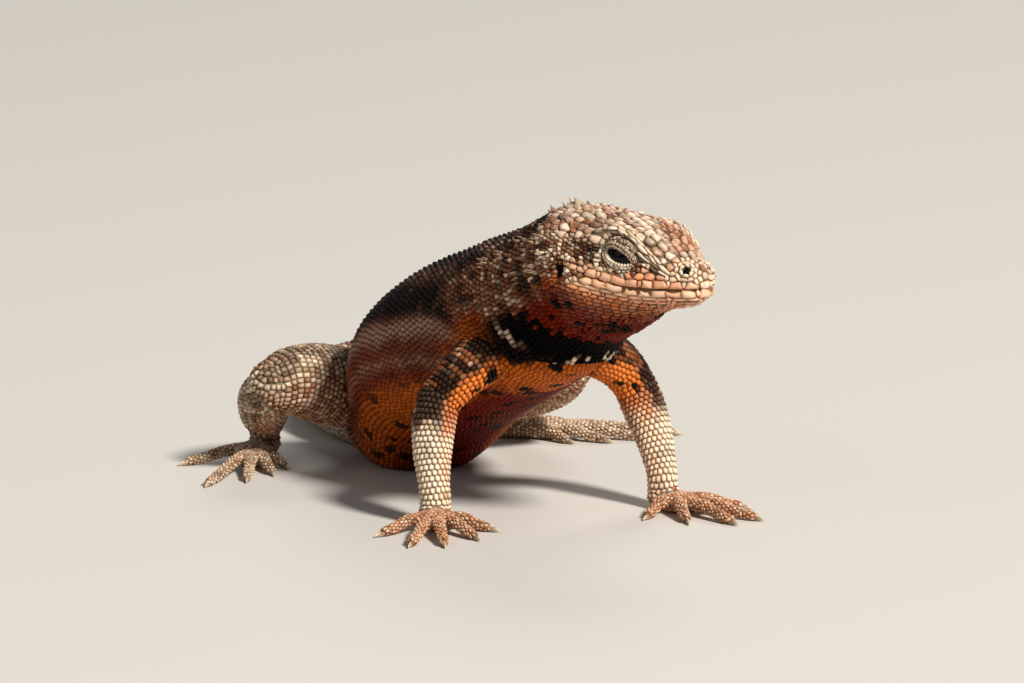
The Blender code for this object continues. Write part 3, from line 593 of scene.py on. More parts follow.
def carve(points):
    """The eye sockets, the line of the mouth, the nostrils and the ears, pressed into the skin."""
    for side in (1, -1):
        centre, facing, along, height = eye_axes(side)
        away = points - centre
        out = away @ facing
        across, above = away @ along / SOCKET[0], away @ height
        radius = np.hypot(across, above / np.where(above > 0, *SOCKET))
        inside = (out > -0.5) & (radius < 1)
        depth = SOCKET_DEPTH * np.sqrt(np.clip(1 - radius ** 2, 0, 1))
        points = np.where(inside[:, None], points - facing * depth[:, None], points)
    behind, aside, above = head_places(points)
    line = hump(above, mouth_height(behind), MOUTH_WIDTH)
    line = line * ramp(behind, MOUTH_CORNER + 0.6, MOUTH_CORNER - 0.6)
    line = line * (behind > -1.5) * (np.abs(aside) < 8)
    inward = -np.sign(aside)[:, None] * HEAD_LEFT * ramp(np.abs(aside), 0, 1.5)[:, None]
    inward = unit(inward - HEAD_FORWARD * ramp(behind, 2.0, 0.0)[:, None])
    points = points + inward * (MOUTH_DEPTH * line)[:, None]
    for side in (1, -1):
        hole = nostril_spot(side)
        near = hump(np.linalg.norm(points - hole, axis=1), 0, NOSTRIL_WIDTH)
        points = points - nostril_way(side) * (NOSTRIL_DEPTH * near)[:, None]
        ear = head_point(EAR[0], side * 7.5, EAR[1])
        away = points - ear
        along, high, deep = EAR_SIZE
        near = np.exp(-((away @ HEAD_FORWARD / along) ** 2 + (away @ HEAD_UP / high) ** 2
                        + (away @ HEAD_LEFT / deep) ** 2))
        points = points - HEAD_LEFT * (side * EAR_DEPTH * near)[:, None]
    return points


def body_tubes():
    """Every tube of the limbs by the name of its limb or paw, and the claws of each paw."""
    tubes, claws = {}, {}
    for name, (upper, lower) in LIMBS.items():
        tubes[name] = [tube(upper), tube(lower)]
    for name, (_, ankle, heading, palm, digits, mirror) in PAWS.items():
        tubes[name], claws[name] = paw_tubes(ankle, heading, palm, digits, mirror)
    return tubes, claws


def make_skin(tubes):
    """Points and faces of one skin over body and limbs, with the eyelids and the nostrils' floors."""
    shells = [grid_mesh(body_surface, body_stations(BODY_RING), BODY_SIDES)]
    for some in tubes.values():
        for surface in some:
            steps = max(8, int(surface.length * TUBE_RINGS))
            shells.append(grid_mesh(surface, np.linspace(0, surface.length, steps), TUBE_SIDES))
    for upper, lower in LIMBS.values():
        for points in (upper[0], upper[-1], lower[0]):
            shells.append(ball(points[0], points[1] * JOINT_BALL))
    points, faces = joined(shells)
    rough = make_object("rough", points, faces)
    remesh = rough.modifiers.new("remesh", "REMESH")
    remesh.mode = "VOXEL"
    remesh.voxel_size = SKIN_VOXEL * MM
    smooth = rough.modifiers.new("smooth", "SMOOTH")
    smooth.factor = 0.5
    smooth.iterations = 5
    skin = evaluated_copy(rough, "skin_base")
    flat = np.empty(len(skin.data.vertices) * 3)
    skin.data.vertices.foreach_get("co", flat)
    points = carve(flat.reshape(-1, 3) / MM)
    points[:, 2] = np.maximum(points[:, 2], 0.0)
    faces = [tuple(f.vertices) for f in skin.data.polygons]
    bpy.data.objects.remove(skin)
    return joined([(points, faces), lid_shell(1), lid_shell(-1), nostril_pit(1), nostril_pit(-1)])


def ball(centre, radius):
    """A closed ball as points and faces."""
    rings, sides = 9, 16
    points = []
    for i in range(rings):
        high = math.pi * (i + 0.5) / rings
        for k in range(sides):
            a = 2 * math.pi * k / sides
            points.append((math.sin(high) * math.cos(a), math.sin(high) * math.sin(a), math.cos(high)))
    faces = [(a, d, c, b) for a, b, c, d in ring_faces(rings, sides)]
    faces.append(tuple(range(sides)))
    faces.append(tuple(range((rings - 1) * sides, rings * sides))[::-1])
    return np.array(points) * radius + np.array(centre), faces


def run_along(points, step=1.0):
    """How far along a line each of its points lies, counted in steps."""
    return np.concatenate([[0], np.cumsum(np.linalg.norm(np.diff(points, axis=0), axis=1) / step)])


def tree_of(points, order=None):
    """A tree that finds the nearest of some points, which go in by the order given."""
    tree = KDTree(len(points))
    for k in range(len(points)) if order is None else order:
        tree.insert(Vector(points[k]), int(k))
    tree.balance()
    return tree


def body_stations(spacing, start=0.0, end=BODY_END):
    """Fractional stations a set length apart along the centre line; spacing may depend on the station."""
    fine = np.linspace(start, end, 1500)
    sizes = np.array([spacing(a) for a in fine[:-1]]) if callable(spacing) else spacing
    run = run_along(smooth_rows(BODY[:, :3], fine), sizes)
    count = max(2, round(run[-1]) + 1)
    return np.interp(np.linspace(0, run[-1], count), run, fine)


def grain(points, size, shift=0.0):
    """Smooth noise of about -1 to 1 whose blotches are about as wide as size, in mm."""
    offset = Vector((shift, 2.3 * shift, -1.7 * shift))
    return np.array([noise.noise(Vector(p) / size + offset) for p in points])


def ring_sites(surface, ats, width, turns, rng, jitter):
    """Staggered rows of sites round a surface. width(at, side) is a scale's width in mm."""
    fine = np.linspace(*turns, 241)
    middles = (fine[1:] + fine[:-1]) / 2
    found = []
    for k, at in enumerate(ats):
        ring = surface(np.full(len(fine), at), fine)
        run = run_along(ring, width(at, side_of(middles)))
        count = max(3, round(run[-1]))
        spots = (np.arange(count) + 0.5 * (k % 2) + jitter * rng.uniform(-1, 1, count)) * run[-1] / count
        turn = np.interp(np.clip(spots, 0, run[-1]), run, fine)
        near = ats[min(k + 1, len(ats) - 1)] - ats[max(k - 1, 0)]
        step = near / (2 if 0 < k < len(ats) - 1 else 1)
        where = at + step * jitter * rng.uniform(-1, 1, count)
        place = surface(where, turn)
        rear = surface(where + 0.5 * step, turn) - surface(where - 0.5 * step, turn)
        found.append((where, turn, place, rear, width(at, side_of(turn))))
    at, turn, place, rear, wide = (np.concatenate(part) for part in zip(*found))
    length = np.linalg.norm(rear, axis=1)
    length = np.clip(length, 0.2, 1.3 * np.median(length))
    return dict(at=at, turn=turn, place=place, rear=unit(rear), length=length, width=wide)


def cast_sites(tree, rays, length, width):
    """A row of sites along the line where rays meet the skin."""
    hits = [tree.ray_cast(Vector(start), Vector(way))[0] for start, way in rays]
    return line_sites(np.array([tuple(hit) for hit in hits if hit is not None]), length, width)


def side_path(tree, side, offset, start, end, length, width):
    """A row of sites on the side of the head, a set height above the mouth's line."""
    spots = np.linspace(start, end, 14)
    nodes = np.stack([spots, mouth_height(spots) + offset], -1)
    fine = smooth_rows(nodes, np.linspace(0, len(nodes) - 1, 120))
    rays = [(head_point(behind, side * RAY_START, above), -side * HEAD_LEFT) for behind, above in fine]
    return cast_sites(tree, rays, length, width)


def lip_path(tree, side, offset, front, end, length, width):
    """A row of sites round the snout from an angle off straight ahead, then back along the jaw's side."""
    rays = []
    for angle in np.radians(np.linspace(front, 88, 40)):
        way = HEAD_FORWARD * math.cos(angle) + HEAD_LEFT * (side * math.sin(angle))
        above = float(mouth_height(SNOUT_MIDDLE * (1 - math.cos(angle)))) + offset
        rays.append((head_point(SNOUT_MIDDLE, 0.0, above) + way * RAY_START, -way))
    for behind in np.linspace(2.3, end, 100):
        above = float(mouth_height(behind)) + offset
        rays.append((head_point(behind, side * RAY_START, above), -side * HEAD_LEFT))
    return cast_sites(tree, rays, length, width)


def line_sites(points, length, width):
    """Sites of about the given length, end to end along a line of points."""
    run = run_along(points)
    count = max(1, round(run[-1] / length))

    def along(spots):
        return np.stack([np.interp(spots, run, points[:, k]) for k in range(3)], -1)

    spots = (np.arange(count) + 0.5) * run[-1] / count
    size = np.full(count, run[-1] / count)
    rear = unit(along(spots + 0.2) - along(spots - 0.2))
    return dict(place=along(spots), rear=rear, length=size, width=np.full(count, float(width)))


# Shapes of a scale's outline before its neighbours cut it
ROUND, LEAF, BLOCK = 0, 1, 2


def fill(sites, **values):
    """The sites with more columns, each a number or one value a site."""
    count = len(sites["place"])
    for name, value in values.items():
        sites[name] = np.broadcast_to(np.asarray(value, float), (count,)).copy()
    return sites


# A scale's markings, each from 0 to 1: how black, how far from grey to coloured, how far from orange to
# rust, how pale, and how light where it is grey
MARKS = ("dark", "warm", "hue", "pale", "tone")

# how far above the mouth's line, degrees off the snout's middle, end, length, width, height, shape, marks
LIP_ROWS = [
    (0.5, 27, 11.2, 1.5, 0.82, 0.26, BLOCK, (0, 0.9, 0, 0.42, 0.9)),  # upper lip
    (-0.44, 27, 11.8, 1.75, 0.72, 0.26, BLOCK, (0, 0.85, 0, 0.52, 0.95)),  # lower lip
    (-1.02, 6, 12.6, 1.6, 0.4, 0.16, BLOCK, (0, 0.88, 0.08, 0.45, 0.9)),  # below the lip
    (-1.47, 4, 13.2, 1.4, 0.5, 0.18, BLOCK, (0, 0.95, 0.15, 0.32, 0.8)),  # chin
    (1.1, 10, 2.4, 0.8, 0.62, 0.24, ROUND, (0, 0.45, 0.1, 0.55, 0.9)),  # snout
]
# the same for rows on the side alone, with their start behind the tip
SIDE_ROWS = [
    (1.28, 2.9, 7.2, 1.15, 0.7, 0.24, ROUND, (0, 0.88, 0.1, 0.28, 0.7)),  # over the lip
    (1.92, 3.0, 5.6, 0.95, 0.6, 0.24, ROUND, (0, 0.72, 0.18, 0.3, 0.7)),  # between eye and nostril
    (1.2, 7.4, 13.4, 1.2, 0.48, 0.2, LEAF, (0, 0.75, 0.25, 0.4, 0.8)),  # cheek
    (0.52, 11.3, 14.0, 1.1, 0.5, 0.2, LEAF, (0, 0.75, 0.3, 0.4, 0.8)),  # low on the cheek
]
# degrees above the brow's ridge, from, to, length, width, height, marks
BROW_ROWS = [
    (0, 2.6, 9.4, 1.5, 0.4, 0.22, (0, 0.25, 0.6, 0.6, 0.8)),
    # the darker rows below the ridge, with dark 0.45 and 0.55 and tone 0.5, are painted shade in the
    # grooves between the brow's folds
    (-3.8, 2.5, 9.2, 1.3, 0.34, 0.15, (0.45, 0.25, 0.7, 0.3, 0.5)),
    (-7.4, 2.7, 8.8, 1.4, 0.36, 0.17, (0, 0.2, 0.55, 0.65, 0.8)),
    (-11.2, 2.9, 6.6, 1.2, 0.32, 0.12, (0.55, 0.25, 0.7, 0.25, 0.5)),
    (4.0, 2.6, 8.6, 1.2, 0.38, 0.2, (0.1, 0.25, 0.45, 0.45, 0.75)),
]
# distance from the nostril's middle, how many, length and width, height, marks
NOSTRIL_RINGS = [(0.6, 6, (0.66, 0.44), 0.42, (0, 0.3, 0.4, 0.6, 0.8)),
                 (1.08, 9, (0.75, 0.42), 0.24, (0, 0.3, 0.4, 0.35, 0.8))]
# the plates at the front of the lips: how far above the axis, length, width, marks
FRONT_PLATES = [(0.25, 0.9, 1.9, (0, 0.5, 0.05, 0.6, 0.9)), (-0.78, 0.95, 1.9, (0, 0.85, 0, 0.5, 0.9))]
# rows on the eyelids: how far from the rim, length along it, width, pale, dark
LID_ROWS = [(0.05, 0.34, 0.36, 1.0, 0.0), (0.155, 0.42, 0.26, 0.5, 0.3), (0.27, 0.46, 0.36, 0.9, 0.0),
            (0.385, 0.5, 0.38, 0.55, 0.2), (0.51, 0.52, 0.44, 0.75, 0.0), (0.65, 0.54, 0.44, 0.5, 0.15)]
# rows under the jaw: how many, the first one's height above the mouth's line, the step down, where they end
# behind the tip, and a scale's length and width
THROAT_ROWS, THROAT_TOP, THROAT_STEP, THROAT_END = 12, -1.93, 0.45, 15.0
THROAT_SIZE = (0.92, 0.46)


def face_sites(tree, rng):
    """The scales that keep to lines on the head: lips, chin, brows, and those round the mouth's front."""
    parts = []

    def add(row, height, shape, marks, tilt=0.05):
        count = len(row["place"])
        row["length"] = row["length"] * rng.uniform(0.78, 1.22, count)
        row = fill(row, height=height, tilt=tilt, keel=0.0, shape=shape, **dict(zip(MARKS, marks)))
        row["pale"] *= rng.uniform(0.7, 1.3, count)
        row["hue"] += rng.uniform(0, 0.18, count)
        parts.append(row)

    for side in (1, -1):
        for ring, count, size, height, marks in NOSTRIL_RINGS:
            add(nostril_ring(side, ring, count, size), height, BLOCK, marks)
        for turn, start, end, length, width, height, marks in BROW_ROWS:
            add(brow_path(side, turn, start, end, length, width), height, LEAF, marks, tilt=0.12)
        for offset, front, end, length, width, height, shape, marks in LIP_ROWS:
            add(lip_path(tree, side, offset, front, end, length, width), height, shape, marks)
        for offset, start, end, length, width, height, shape, marks in SIDE_ROWS:
            add(side_path(tree, side, offset, start, end, length, width), height, shape, marks)
    depths = [row[4] for row in HEAD_STATIONS]
    behinds = [row[0] for row in HEAD_STATIONS]
    for k in range(THROAT_ROWS):
        offset = THROAT_TOP - THROAT_STEP * k
        start = float(np.interp(-offset + 0.5, depths, behinds))
        for side in (1, -1):
            row = side_path(tree, side, offset, start, THROAT_END, *THROAT_SIZE)
            row["length"] *= rng.uniform(0.8, 1.2, len(row["place"]))
            marks = jaw_marks(row["place"], rng)
            parts.append(fill(row, height=0.17, tilt=0.1, keel=0.0, shape=LEAF, tone=0.5, **marks))
    for above, length, width, marks in FRONT_PLATES:
        hit = tree.ray_cast(Vector(head_point(-8.0, 0.0, above)), Vector(-HEAD_FORWARD))[0]
        row = dict(place=np.array([hit]), rear=HEAD_UP[None])
        parts.append(fill(row, length=length, width=width, height=0.3, tilt=0.0, keel=0.0, shape=BLOCK,
                          **dict(zip(MARKS, marks))))
    for side in (1, -1):
        parts.append(lid_sites(side))
    return parts


def jaw_marks(place, rng):
    """The colours below the mouth: cream at the lip, through orange, to spotted rust on the throat."""
    behind, _, above = head_places(place)
    below = above - mouth_height(behind)
    count = len(place)
    pale = np.interp(below, [-5.0, -3.5, -2.0, -1.0, -0.3], [0.0, 0.04, 0.16, 0.34, 0.52])
    pale = pale * ramp(behind, 16.5, 10)
    hue = np.interp(below, [-5.0, -3.0, -1.5, -0.3], [0.9, 0.62, 0.28, 0.05]) + 0.3 * ramp(behind, 10.5, 15)
    dark = throat_spots(place) * ramp(below, -1.8, -2.8)
    snout = ramp(behind, 3.2, 1.8) * ramp(below, -2.6, -1.6)
    pale = np.maximum(pale * rng.uniform(0.4, 1.5, count), 0.7 * snout)
    return dict(pale=np.clip(pale, 0, 1), warm=0.93 - 0.3 * snout, dark=dark,
                hue=np.clip((hue + rng.uniform(-0.12, 0.12, count)) * (1 - snout), 0, 1))


def brow_path(side, turn, start, end, length, width):
    """A row of sites along the brow, a set angle above or below its ridge."""
    behind = np.linspace(start, end, 200)
    at = np.interp(behind, [row[0] for row in HEAD_STATIONS], np.arange(len(HEAD_STATIONS)))
    turns = brow_turn(behind) + turn
    line = body_surface(at, turns if side > 0 else -180 - turns)
    return line_sites(line, length, width)


def nostril_ring(side, radius, count, size):
    """Sites in a ring about the nostril, each with its width across the ring."""
    place, rear = nostril_circle(side, radius, 2 * math.pi * (np.arange(count) + 0.5) / count)
    return dict(place=place, rear=rear, length=np.full(count, size[0]), width=np.full(count, size[1]))


def lid_sites(side):
    """Rows of beads on the eyelids, smallest on the rim."""
    parts = []
    for share, length, width, pale, dark in LID_ROWS:
        fine = np.linspace(0, 2 * math.pi, 400)
        ring = lid_point(side, fine, np.full(400, share))
        run = run_along(ring)
        count = round(run[-1] / length)
        angle = np.interp((np.arange(count) + 0.5) * run[-1] / count, run, fine)
        place = lid_point(side, angle, np.full(count, share))
        along = lid_point(side, angle + 0.02, np.full(count, share)) - place
        low = ramp(np.sin(angle), 0.35, -0.25)
        parts.append(fill(dict(place=place, rear=unit(along)), length=length, width=width, height=0.06,
                          tilt=0.0, keel=0.0, shape=ROUND, warm=0.3 * (1 - 0.5 * low), hue=0.6,
                          pale=pale * (0.7 + 0.3 * low), tone=0.92, dark=dark * (1 - 0.6 * low)))
    return {name: np.concatenate([part[name] for part in parts]) for name in parts[0]}


def head_marks(sites, rng):
    """Shape and markings of the head's free scales."""
    place, side = sites["place"], side_of(sites["turn"])
    behind, aside, above = head_places(place)
    r = rng.uniform(0, 1, len(place))
    fine = grain(place, 1.1, 3.0)
    crown = ramp(side, 24, 40)
    below = above - mouth_height(behind)
    under = ramp(below + 0.9 * ramp(behind, 11.0, 13.5), 0.7, -0.7)
    streak = hump(above, 2.75 + 0.16 * (behind - 9.8), 0.55)
    streak = streak * ramp(behind, 9.6, 10.4) * ramp(behind, 15.5, 13.5)
    spots = ramp(grain(place, 1.5, 9.0), 0.14, 0.4)
    dark = crown * 0.45 * spots + (1 - crown) * (0.85 * streak + 0.5 * ramp(fine, 0.1, 0.4))
    warm = crown * (0.1 + 0.4 * ramp(grain(place, 2.0, 5.0), 0.0, 0.35)) + (1 - crown) * 0.08
    hue = 0.42 + 0.1 * (1 - crown)
    pale = crown * 0.6 * ramp(fine, 0.12, 0.4) + (1 - crown) * 0.6 * (r > 0.6) * (1 - streak)
    tone = crown * (0.68 + 0.4 * grain(place, 2.6)) + (1 - crown) * (0.4 + 0.45 * grain(place, 1.3))
    tone = tone + 0.2 * (r - 0.5)
    height = (0.3 * crown + 0.24 * (1 - crown)) * (0.7 + 0.6 * r)
    jaw = jaw_marks(place, rng)
    dark = np.maximum(dark * (1 - under), jaw["dark"] * under)
    warm, hue = warm + (jaw["warm"] - warm) * under, hue + (jaw["hue"] - hue) * under
    pale = pale * (1 - under) + jaw["pale"] * under
    shape = np.where(under > 0.5, LEAF, ROUND)
    rough = ramp(behind, 9.0, 14.0)
    tilt = 0.06 + 0.16 * np.maximum(1 - crown, rough)
    keel = 0.08 * (1 - crown) + 0.22 * crown * rough
    return fill(sites, height=height, tilt=tilt, keel=keel, shape=shape,
                dark=np.maximum(dark, collar(sites, place)), warm=warm, hue=hue, pale=pale, tone=tone)


def spot_map(seed, spacing):
    """Centres of round spots scattered about the throat, the chest and the flanks."""
    rng = np.random.default_rng(seed)
    low, high = np.array((-13, -60, 1)), np.array((13, 2, 32))
    return rng.uniform(low, high, (int(0.6 * np.prod(high - low) / spacing ** 3), 3))


def near_spots(place, seed, spacing, radius):
    """1 inside scattered spots of about the given radius, and 0 well away from them."""
    tree = tree_of(spot_map(seed, spacing))
    near = np.array([tree.find(Vector(p))[2] for p in place])
    return ramp(near, radius * 1.25, radius * 0.85)


def throat_spots(place):
    """Round black spots on the throat and the lower neck."""
    return near_spots(place, seed=11, spacing=1.6, radius=0.52)


def chest_spots(place):
    """Larger black spots on the chest and the belly."""
    return near_spots(place, seed=4, spacing=2.2, radius=0.8)


def collar(sites, place):
    """The black collar in front of the fold, with a ragged front edge."""
    side, at = side_of(sites["turn"]), sites["at"]
    front = np.interp(side, [-90, -70, -57, -48, -34, -10], [9.35, 9.4, 9.65, 9.95, 10.3, 10.75])
    front = front + 0.6 * grain(place, 1.0, 2.0)
    back = fold_station(side) - 0.1 + 0.45 * ramp(side, -68, -50)
    return ramp(at, front - 0.08, front + 0.08) * ramp(at, back + 0.08, back) * ramp(side, -8, -18)


def with_shoulder(at, side, dark, warm, hue, pale):
    """Markings with the red patch behind the neck's fold, above the arm."""
    red = hump(at, 12.15, 0.42) * hump(side, -16, 13)
    return dict(dark=dark * (1 - red), warm=warm + (0.95 - warm) * red, hue=hue + (0.5 - hue) * red,
                pale=pale * (1 - red))


def neck_marks(sites, rng):
    """Blotched on top and spotted below, then the black collar, its pale edge and the orange chest."""
    place, side, at = sites["place"], side_of(sites["turn"]), sites["at"]
    r = rng.uniform(0, 1, len(place))
    top, under = ramp(side, 22, 45), ramp(side, -6, -26)
    fold = fold_station(side)
    chest = ramp(at, fold - 0.08, fold + 0.05) * ramp(side, 5, -12)
    blotch = ramp(grain(place, 2.6, 2.0), 0.0, 0.2)
    ragged = 0.1 * grain(place, 0.9, 6.0)
    gaps = ramp(grain(place, 1.1, 8.0), -0.12, 0.06)
    edge = ramp(np.abs(at - fold + 0.24 + ragged), 0.24, 0.17) * ramp(side, -52, -62) * (r > 0.2) * gaps
    edge = np.maximum(edge, 0.8 * ramp(np.abs(at - fold + 0.3), 0.1, 0.05) * hump(side, -28, 10))
    flecks = (1 - under) * ramp(grain(place, 1.7, 5.0), 0.1, 0.3)
    dark = np.maximum(0.9 * blotch * top, 0.75 * (1 - top) * flecks)
    dark = np.maximum(dark, throat_spots(place) * under)
    dark = np.maximum(dark * (1 - chest), collar(sites, place))
    dark = np.maximum(dark, chest * chest_spots(place)) * (1 - edge)
    warm = np.clip(under + (1 - top) * (1 - under) * 0.22 + chest, 0, 1) * (1 - edge)
    hue = np.where(chest > 0.5, 0.3, 0.9) * under + (1 - under) * 0.8
    pale = np.maximum(edge, 0.35 * (r > 0.8) * (1 - under) * (0.3 + 0.7 * ramp(at, 12.0, 10.8)))
    tone = 0.22 * top + 0.45 * (1 - top) + 0.3 * (r - 0.5)
    tilt = 0.34 * (1 - under) + 0.1 * under
    return fill(sites, height=0.14, tilt=tilt, keel=0.14 * (1 - under), shape=LEAF, tone=tone,
                **with_shoulder(at, side, dark, warm, hue, pale))


def trunk_marks(sites, rng):
    """Dark bands and flecks along the back, pale stripes on a rust flank, and a spotted orange belly."""
    place, side, at = sites["place"], side_of(sites["turn"]), sites["at"]
    r = rng.uniform(0, 1, len(place))
    line = np.interp(at, [12.1, 12.4, 12.8, 13.4, 14.0, 14.6, 18], [-22, -14, -5, 3, 10, 17, 20])
    up = side - line
    wave = 5 * grain(place, 3.5, 3.0)
    stripe = hump(up + wave, 0, 7)
    second = 0.6 * hump(up + wave, -21, 6)
    band = hump(up + wave, 21, 11) * ramp(grain(place, 2.6, 1.0), -0.45, -0.15)
    flecked = hump(up, 43, 9)
    spine_band = hump(up + wave, 64, 11) * ramp(grain(place, 2.8, 4.0), -0.3, 0.0)
    back = ramp(up, 4, 12)
    belly = ramp(up, -26, -46)
    flank = (1 - back) * (1 - belly)
    dark = np.maximum(band, spine_band) + 0.5 * flecked * (r > 0.5) + 0.35 * back
    dark = dark + 0.45 * flank * ramp(grain(place, 2.0, 6.0), -0.1, 0.25)
    dark = np.clip(dark, 0, 0.95) * (1 - 0.9 * stripe) * (1 - second)
    dark = np.maximum(dark * (1 - belly), belly * chest_spots(place) * 0.9)
    warm = flank * 0.75 * (1 - 0.5 * second) + belly * 0.97 + 0.25 * stripe + 0.22 * back
    # towards the very underside the belly turns from orange to deep rust: partly its own colour, partly
    # painted shade under the body
    hue = 0.9 * (1 - belly) + belly * (0.5 + 0.5 * ramp(side, -50, -80))
    pale = np.maximum(0.3 * stripe + 0.1 * second, 0.5 * flecked * (r > 0.8))
    tone = 0.1 * back + 0.66 * stripe + 0.4 * second + 0.25 * flank + 0.4 * belly + 0.14 * (r - 0.5)
    tone = tone + 0.35 * flecked
    top = ramp(side, -30, 10)
    return fill(sites, height=0.08 + 0.04 * top, tilt=0.1 + 0.16 * top, keel=0.03 + 0.12 * top, shape=LEAF,
                tone=tone, **with_shoulder(at, side, dark, warm, hue, pale))


def body_marks(sites, rng):
    """The neck's markings, which pass over into the trunk's behind the shoulder along a ragged line."""
    neck, trunk = neck_marks(dict(sites), rng), trunk_marks(dict(sites), rng)
    share = ramp(sites["at"] + 0.6 * grain(sites["place"], 2.2, 9.0), 11.8, 12.8)
    for name in MARKS:
        neck[name] = neck[name] * (1 - share) + trunk[name] * share
    for name in ("height", "tilt", "keel"):
        neck[name] = neck[name] + (trunk[name] - neck[name]) * ramp(sites["at"], 11.8, 12.8)
    return neck


def tail_marks(sites, rng):
    """Dark bands across a grey-brown tail, darker and smoother at its root."""
    place, side = sites["place"], side_of(sites["turn"])
    r = rng.uniform(0, 1, len(place))
    band = 0.5 + 0.5 * np.sin(place[:, 1] * 0.75 + 0.8 * grain(place, 4.0, 7.0))
    top = ramp(side, -30, 10)
    root = ramp(sites["at"] + 0.5 * grain(place, 2.0, 3.0), TAIL_FROM + 1.6, TAIL_FROM + 0.2)
    dark = top * np.maximum(0.6 * ramp(band, 0.55, 0.85), 0.7 * root)
    rough = 1 - 0.5 * ramp(sites["at"], TAIL_FROM + 2.0, TAIL_FROM)
    return fill(sites, height=0.12, tilt=0.22 * rough, keel=(0.2 * top + 0.03) * rough, shape=LEAF,
                dark=dark, warm=0.1 + 0.1 * (1 - top), hue=0.7, pale=0.3 * (1 - top) + 0.3 * (r > 0.88),
                tone=0.36 + 0.25 * (r - 0.5) + 0.3 * (1 - top))


def limb_marks(sites, rng, name, part, normals):
    """Orange and dark upper arms, pale lower arms, and grey legs that darken at the hip."""
    place = sites["place"]
    r = rng.uniform(0, 1, len(place))
    fine = grain(place, 1.5, 8.0)
    inward = normals[:, 0] * (1 if name.endswith("right") else -1)
    under = ramp(0.8 * inward - 0.6 * normals[:, 2] - 0.45 * normals[:, 1], 0.12, 0.5)
    blotch = ramp(fine, -0.05, 0.18)
    if name.startswith("arm") and part == 0:
        blotch = ramp(fine, -0.25, 0.0)
        dark = np.maximum(0.9 * blotch * (1 - under), under * ramp(fine, 0.22, 0.36))
        marks = dict(dark=dark, warm=0.95 * under + 0.25 * (1 - under), hue=0.02 + 0.6 * (1 - under),
                     pale=0.05 * under + 0.3 * (r > 0.88) * (1 - under), tone=0.36 + 0.3 * (r - 0.5))
    elif name.startswith("arm"):
        high = ramp(place[:, 2] + 0.8 * grain(place, 2.0, 3.0), 9.0, 12.0)
        dark = 0.85 * ramp(fine, -0.3, -0.05) * high * (1 - under)
        dark = dark + 0.3 * (1 - high) * ramp(fine, 0.15, 0.35)
        warm = under * (0.45 + 0.5 * high) + 0.05 + 0.15 * high
        marks = dict(dark=dark, warm=warm, hue=0.1 + 0.3 * high,
                     pale=(0.45 + 0.4 * (r > 0.4)) * (1 - 0.8 * high), tone=1.0 - 0.55 * high)
    else:
        hip = ramp(np.abs(place[:, 0]) + 0.9 * fine, 8.5, 4.5) * ramp(normals[:, 2], -0.2, 0.2)
        dark = np.maximum(0.45 * blotch * (1 - under), 0.7 * hip)
        marks = dict(dark=dark, warm=0.25 * under, hue=0.5, pale=(0.05 + 0.25 * (r > 0.8)) * (1 - hip),
                     tone=(0.66 + 0.25 * (r - 0.5)) * (1 - 0.7 * hip))
    return fill(sites, height=0.1, tilt=0.13, keel=0.08, shape=LEAF, **marks)


def paw_marks(sites, rng):
    """Grey-brown hands and feet with small dark flecks, the hands a little warmer."""
    r = rng.uniform(0, 1, len(sites["place"]))
    fine = grain(sites["place"], 1.0, 8.0)
    hand = sites["place"][:, 1] < -25
    return fill(sites, height=0.08, tilt=0.07, keel=0.0, shape=BLOCK, dark=0.3 * ramp(fine, 0.15, 0.4),
                warm=0.1 + 0.3 * hand, hue=0.15, pale=0.3 * (r > 0.5), tone=0.75 + 0.2 * (r - 0.5))


def atlas(cell, across, around):
    """A root's place on the unwrap: the body fills the lower half, and each tube has a box above it."""
    if cell < 0:
        return np.stack([across, 0.5 * around], -1)
    row, column = divmod(cell, ATLAS_COLUMNS)
    return np.stack([(column + across) / ATLAS_COLUMNS, 0.5 + (row + around) / ATLAS_COLUMNS], -1)


def turned(turn):
    """How much of the way round a turn is."""
    return (turn - AROUND[0]) / (AROUND[1] - AROUND[0])


def level(way, normal):
    """The part of each way that lies along the skin."""
    return way - normal * np.sum(way * normal, axis=1)[:, None]


def nearest(tree, points):
    """The closest points of the skin, its normals there, and how far off they are."""
    found = [tree.find_nearest(Vector(p)) for p in points]
    return (np.array([tuple(f[0]) for f in found]), np.array([tuple(f[1]) for f in found]),
            np.array([f[3] for f in found]))


def settle(sites, tree, far):
    """The sites that lie on the skin, moved onto it and given its normal."""
    place, normal, away = nearest(tree, sites["place"])
    keep = (away < far) & ~in_mouth(place)
    for spot, radius in openings(eyes=False):
        keep &= np.linalg.norm(place - spot, axis=1) > radius
    sites = {name: value[keep] for name, value in sites.items()}
    sites["place"], sites["normal"] = place[keep], normal[keep]
    sites["rear"] = unit(level(sites["rear"], sites["normal"]))
    return sites


def body_uv(sites):
    """Unwrap places for sites of the long surface that know only where they are in space."""
    fine = body_stations(0.4)
    turns = np.linspace(*AROUND, 73)
    count = len(turns)
    tree = tree_of(body_surface(np.repeat(fine, count), np.tile(turns, len(fine))))
    index = np.array([tree.find(Vector(p))[1] for p in sites["place"]])
    return atlas(BODY_CELL, fine[index // count] / BODY_END, turned(turns[index % count]))


def even(width):
    """One width everywhere, for ring_sites."""
    return lambda at, side: width + 0 * side


def graded(ats, sizes):
    """A size that changes along the body, for ring_sites and body_stations."""
    return lambda at, side=0: np.interp(at, ats, sizes) + 0 * side


